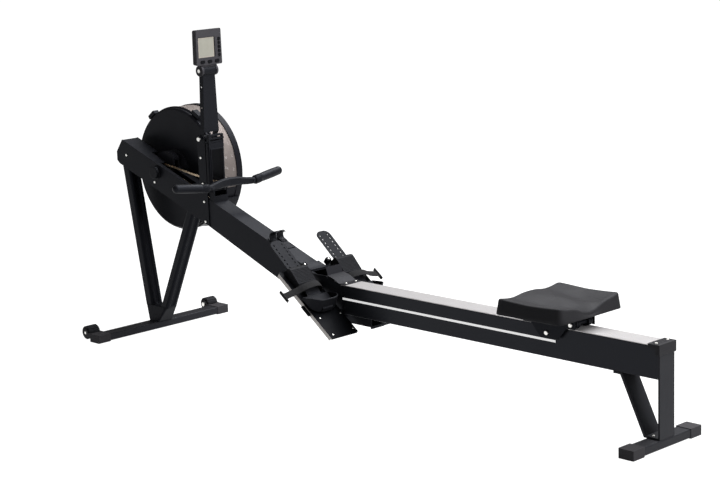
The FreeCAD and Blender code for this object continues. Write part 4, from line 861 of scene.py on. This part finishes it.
def display_finish():
    material, tree, place = new_finish("display_panel")
    parts = add(tree, "ShaderNodeSeparateXYZ", Vector=place)
    frame_area = within(tree, parts, (("Y", -0.0460, 0.0238), ("Z", 1.0112, 1.0795)))
    panel_area = within(tree, parts, (("Y", -0.0415, 0.0205), ("Z", 1.0148, 1.0760)))
    cloud = noise(tree, place, 35.0, 2.0)
    panel = blend_colours(tree, cloud, (0.33, 0.325, 0.275, 1.0), (0.40, 0.39, 0.335, 1.0))
    framed = blend_colours(tree, panel_area, (0.42, 0.385, 0.33, 1.0), panel)
    # Outside the frame the insert is near-black: painted shade where the recess's walls would shade it.
    colour = blend_colours(tree, frame_area, (0.006, 0.006, 0.007, 1.0), framed)
    shader = add(tree, "ShaderNodeBsdfPrincipled", Base_Color=colour, Roughness=0.22)
    close_finish(tree, shader)
    return material


dress(display_finish(), "monitor_screen")
print("display finished")


# %% [markdown]
# ## Fasteners inside nodes
# A few CAD nodes hold both a black body and bright screws. Their faces are told apart by where they
# are, and the screws' faces take a second finish. Only the finish of a face changes.

# %% Bright screws
def brighten(node, finish, test):
    mesh = nodes[node].data
    mesh.materials.append(finish)
    index = len(mesh.materials) - 1
    count = 0
    for polygon in mesh.polygons:
        if test(polygon.center):
            polygon.material_index = index
            count += 1
    print(node, "bright faces", count)


AXLE_HEAD_Y, PIN_HEAD_Y, PIN_HEAD_R, PIN_X, PIN_TOP_Z = 0.0472, 0.0361, 0.0085, -0.728, 0.9735


def tilt_pin_head(c):
    """True on the two heads of the monitor's tilt pin."""
    return abs(c.y) > PIN_HEAD_Y and c.z < PIN_TOP_Z and abs(c.x - PIN_X) < PIN_HEAD_R


brighten("seat_carriage", zinc_plate, lambda c: abs(c.y) > AXLE_HEAD_Y)
brighten("monitor_case", zinc_plate, tilt_pin_head)
PLATE_SCREWS = ((0.217, 0.042, 0.0), (0.292, 0.042, 0.0), (0.287, -0.050, 0.0), (0.217, -0.050, 0.0),
                (0.0015, -0.051, 0.015))
SCREW_R = 0.0034


def plate_screw(c):
    """True on a footplate's screws: close to one of their centres, and proud of the plate's face."""
    dx, dz = c.x - PLATE_TOP[0], c.z - PLATE_TOP[1]
    along = dx * math.cos(FOOT_TILT) - dz * math.sin(FOOT_TILT)
    high = dx * math.sin(FOOT_TILT) + dz * math.cos(FOOT_TILT)
    y = abs(c.y) - FOOT_Y
    return any(math.hypot(along - a, y - b) < SCREW_R and high > h + 0.00005 for a, b, h in PLATE_SCREWS)


def plate_edge(c):
    """True on the bare hem along a footplate's outer edge."""
    return abs(abs(c.y) - FOOT_Y - FOOT_HALF) < 0.0002


for side in ("left", "right"):
    brighten("footplate_" + side, zinc_plate, plate_screw)
    brighten("footplate_" + side, bare_edge, plate_edge)

# %% [markdown]
# ## Room
# A plain pale floor and soft light. The floor shows the camera a white that its own shadow
# darkens, and lights the machine as an ordinary pale floor would.

# %% Floor and world
def floor_finish():
    material, tree, _ = new_finish("pale_floor")
    path = add(tree, "ShaderNodeLightPath").outputs
    mirrored = calculate(tree, "MAXIMUM", path["Is Glossy Ray"], path["Is Transmission Ray"])
    seen = calculate(tree, "MAXIMUM", path["Is Camera Ray"], mirrored)
    pale = add(tree, "ShaderNodeBsdfDiffuse", Color=(0.22, 0.22, 0.22, 1.0))
    glow = add(tree, "ShaderNodeEmission", Color=(1.0, 1.0, 1.0, 1.0))
    tree.links.new(ramp(tree, seen, 0.0, 1.0, 0.0, 1.0), glow.inputs["Strength"])
    total = add(tree, "ShaderNodeAddShader")
    tree.links.new(pale.outputs[0], total.inputs[0])
    tree.links.new(glow.outputs[0], total.inputs[1])
    output = add(tree, "ShaderNodeOutputMaterial")
    tree.links.new(total.outputs[0], output.inputs["Surface"])
    return material


def make_floor(half=40.0):
    points = [(-half, -half, 0.0), (half, -half, 0.0), (half, half, 0.0), (-half, half, 0.0)]
    mesh = bpy.data.meshes.new("floor")
    mesh.from_pydata(points, [], [(0, 1, 2, 3)])
    mesh.materials.append(floor_finish())
    floor = bpy.data.objects.new("floor", mesh)
    bpy.context.scene.collection.objects.link(floor)
    return floor


make_floor()
SKY_LIGHT = 0.16
world = bpy.data.worlds.new("studio")
world.use_nodes = True
bpy.context.scene.world = world
sky = world.node_tree
sky.nodes.clear()
path = add(sky, "ShaderNodeLightPath").outputs
shown = calculate(sky, "MAXIMUM", path["Is Camera Ray"], path["Is Transmission Ray"])
background = add(sky, "ShaderNodeBackground", Color=(1.0, 1.0, 1.0, 1.0))
sky.links.new(ramp(sky, shown, 0.0, 1.0, SKY_LIGHT, 1.0), background.inputs["Strength"])
sky.links.new(background.outputs[0], add(sky, "ShaderNodeOutputWorld").inputs["Surface"])


# %% Lamps
def soft_lamp(name, at, aim, size, power):
    lamp = bpy.data.lights.new(name, "AREA")
    lamp.shape = "RECTANGLE"
    lamp.size, lamp.size_y = size
    lamp.energy = power
    holder = bpy.data.objects.new(name, lamp)
    holder.location = at
    holder.rotation_euler = (Vector(aim) - Vector(at)).to_track_quat("-Z", "Y").to_euler()
    bpy.context.scene.collection.objects.link(holder)
    return holder


soft_lamp("top_softbox", (0.4, 1.4, 3.3), (0.0, 0.0, 0.4), (5.0, 2.2), 260.0)
soft_lamp("rear_softbox", (4.2, 1.0, 2.2), (0.0, 0.0, 0.5), (2.4, 2.4), 85.0)
soft_lamp("left_softbox", (-1.5, -4.2, 2.4), (0.0, 0.0, 0.5), (3.0, 2.4), 8.0)
print("room ready")
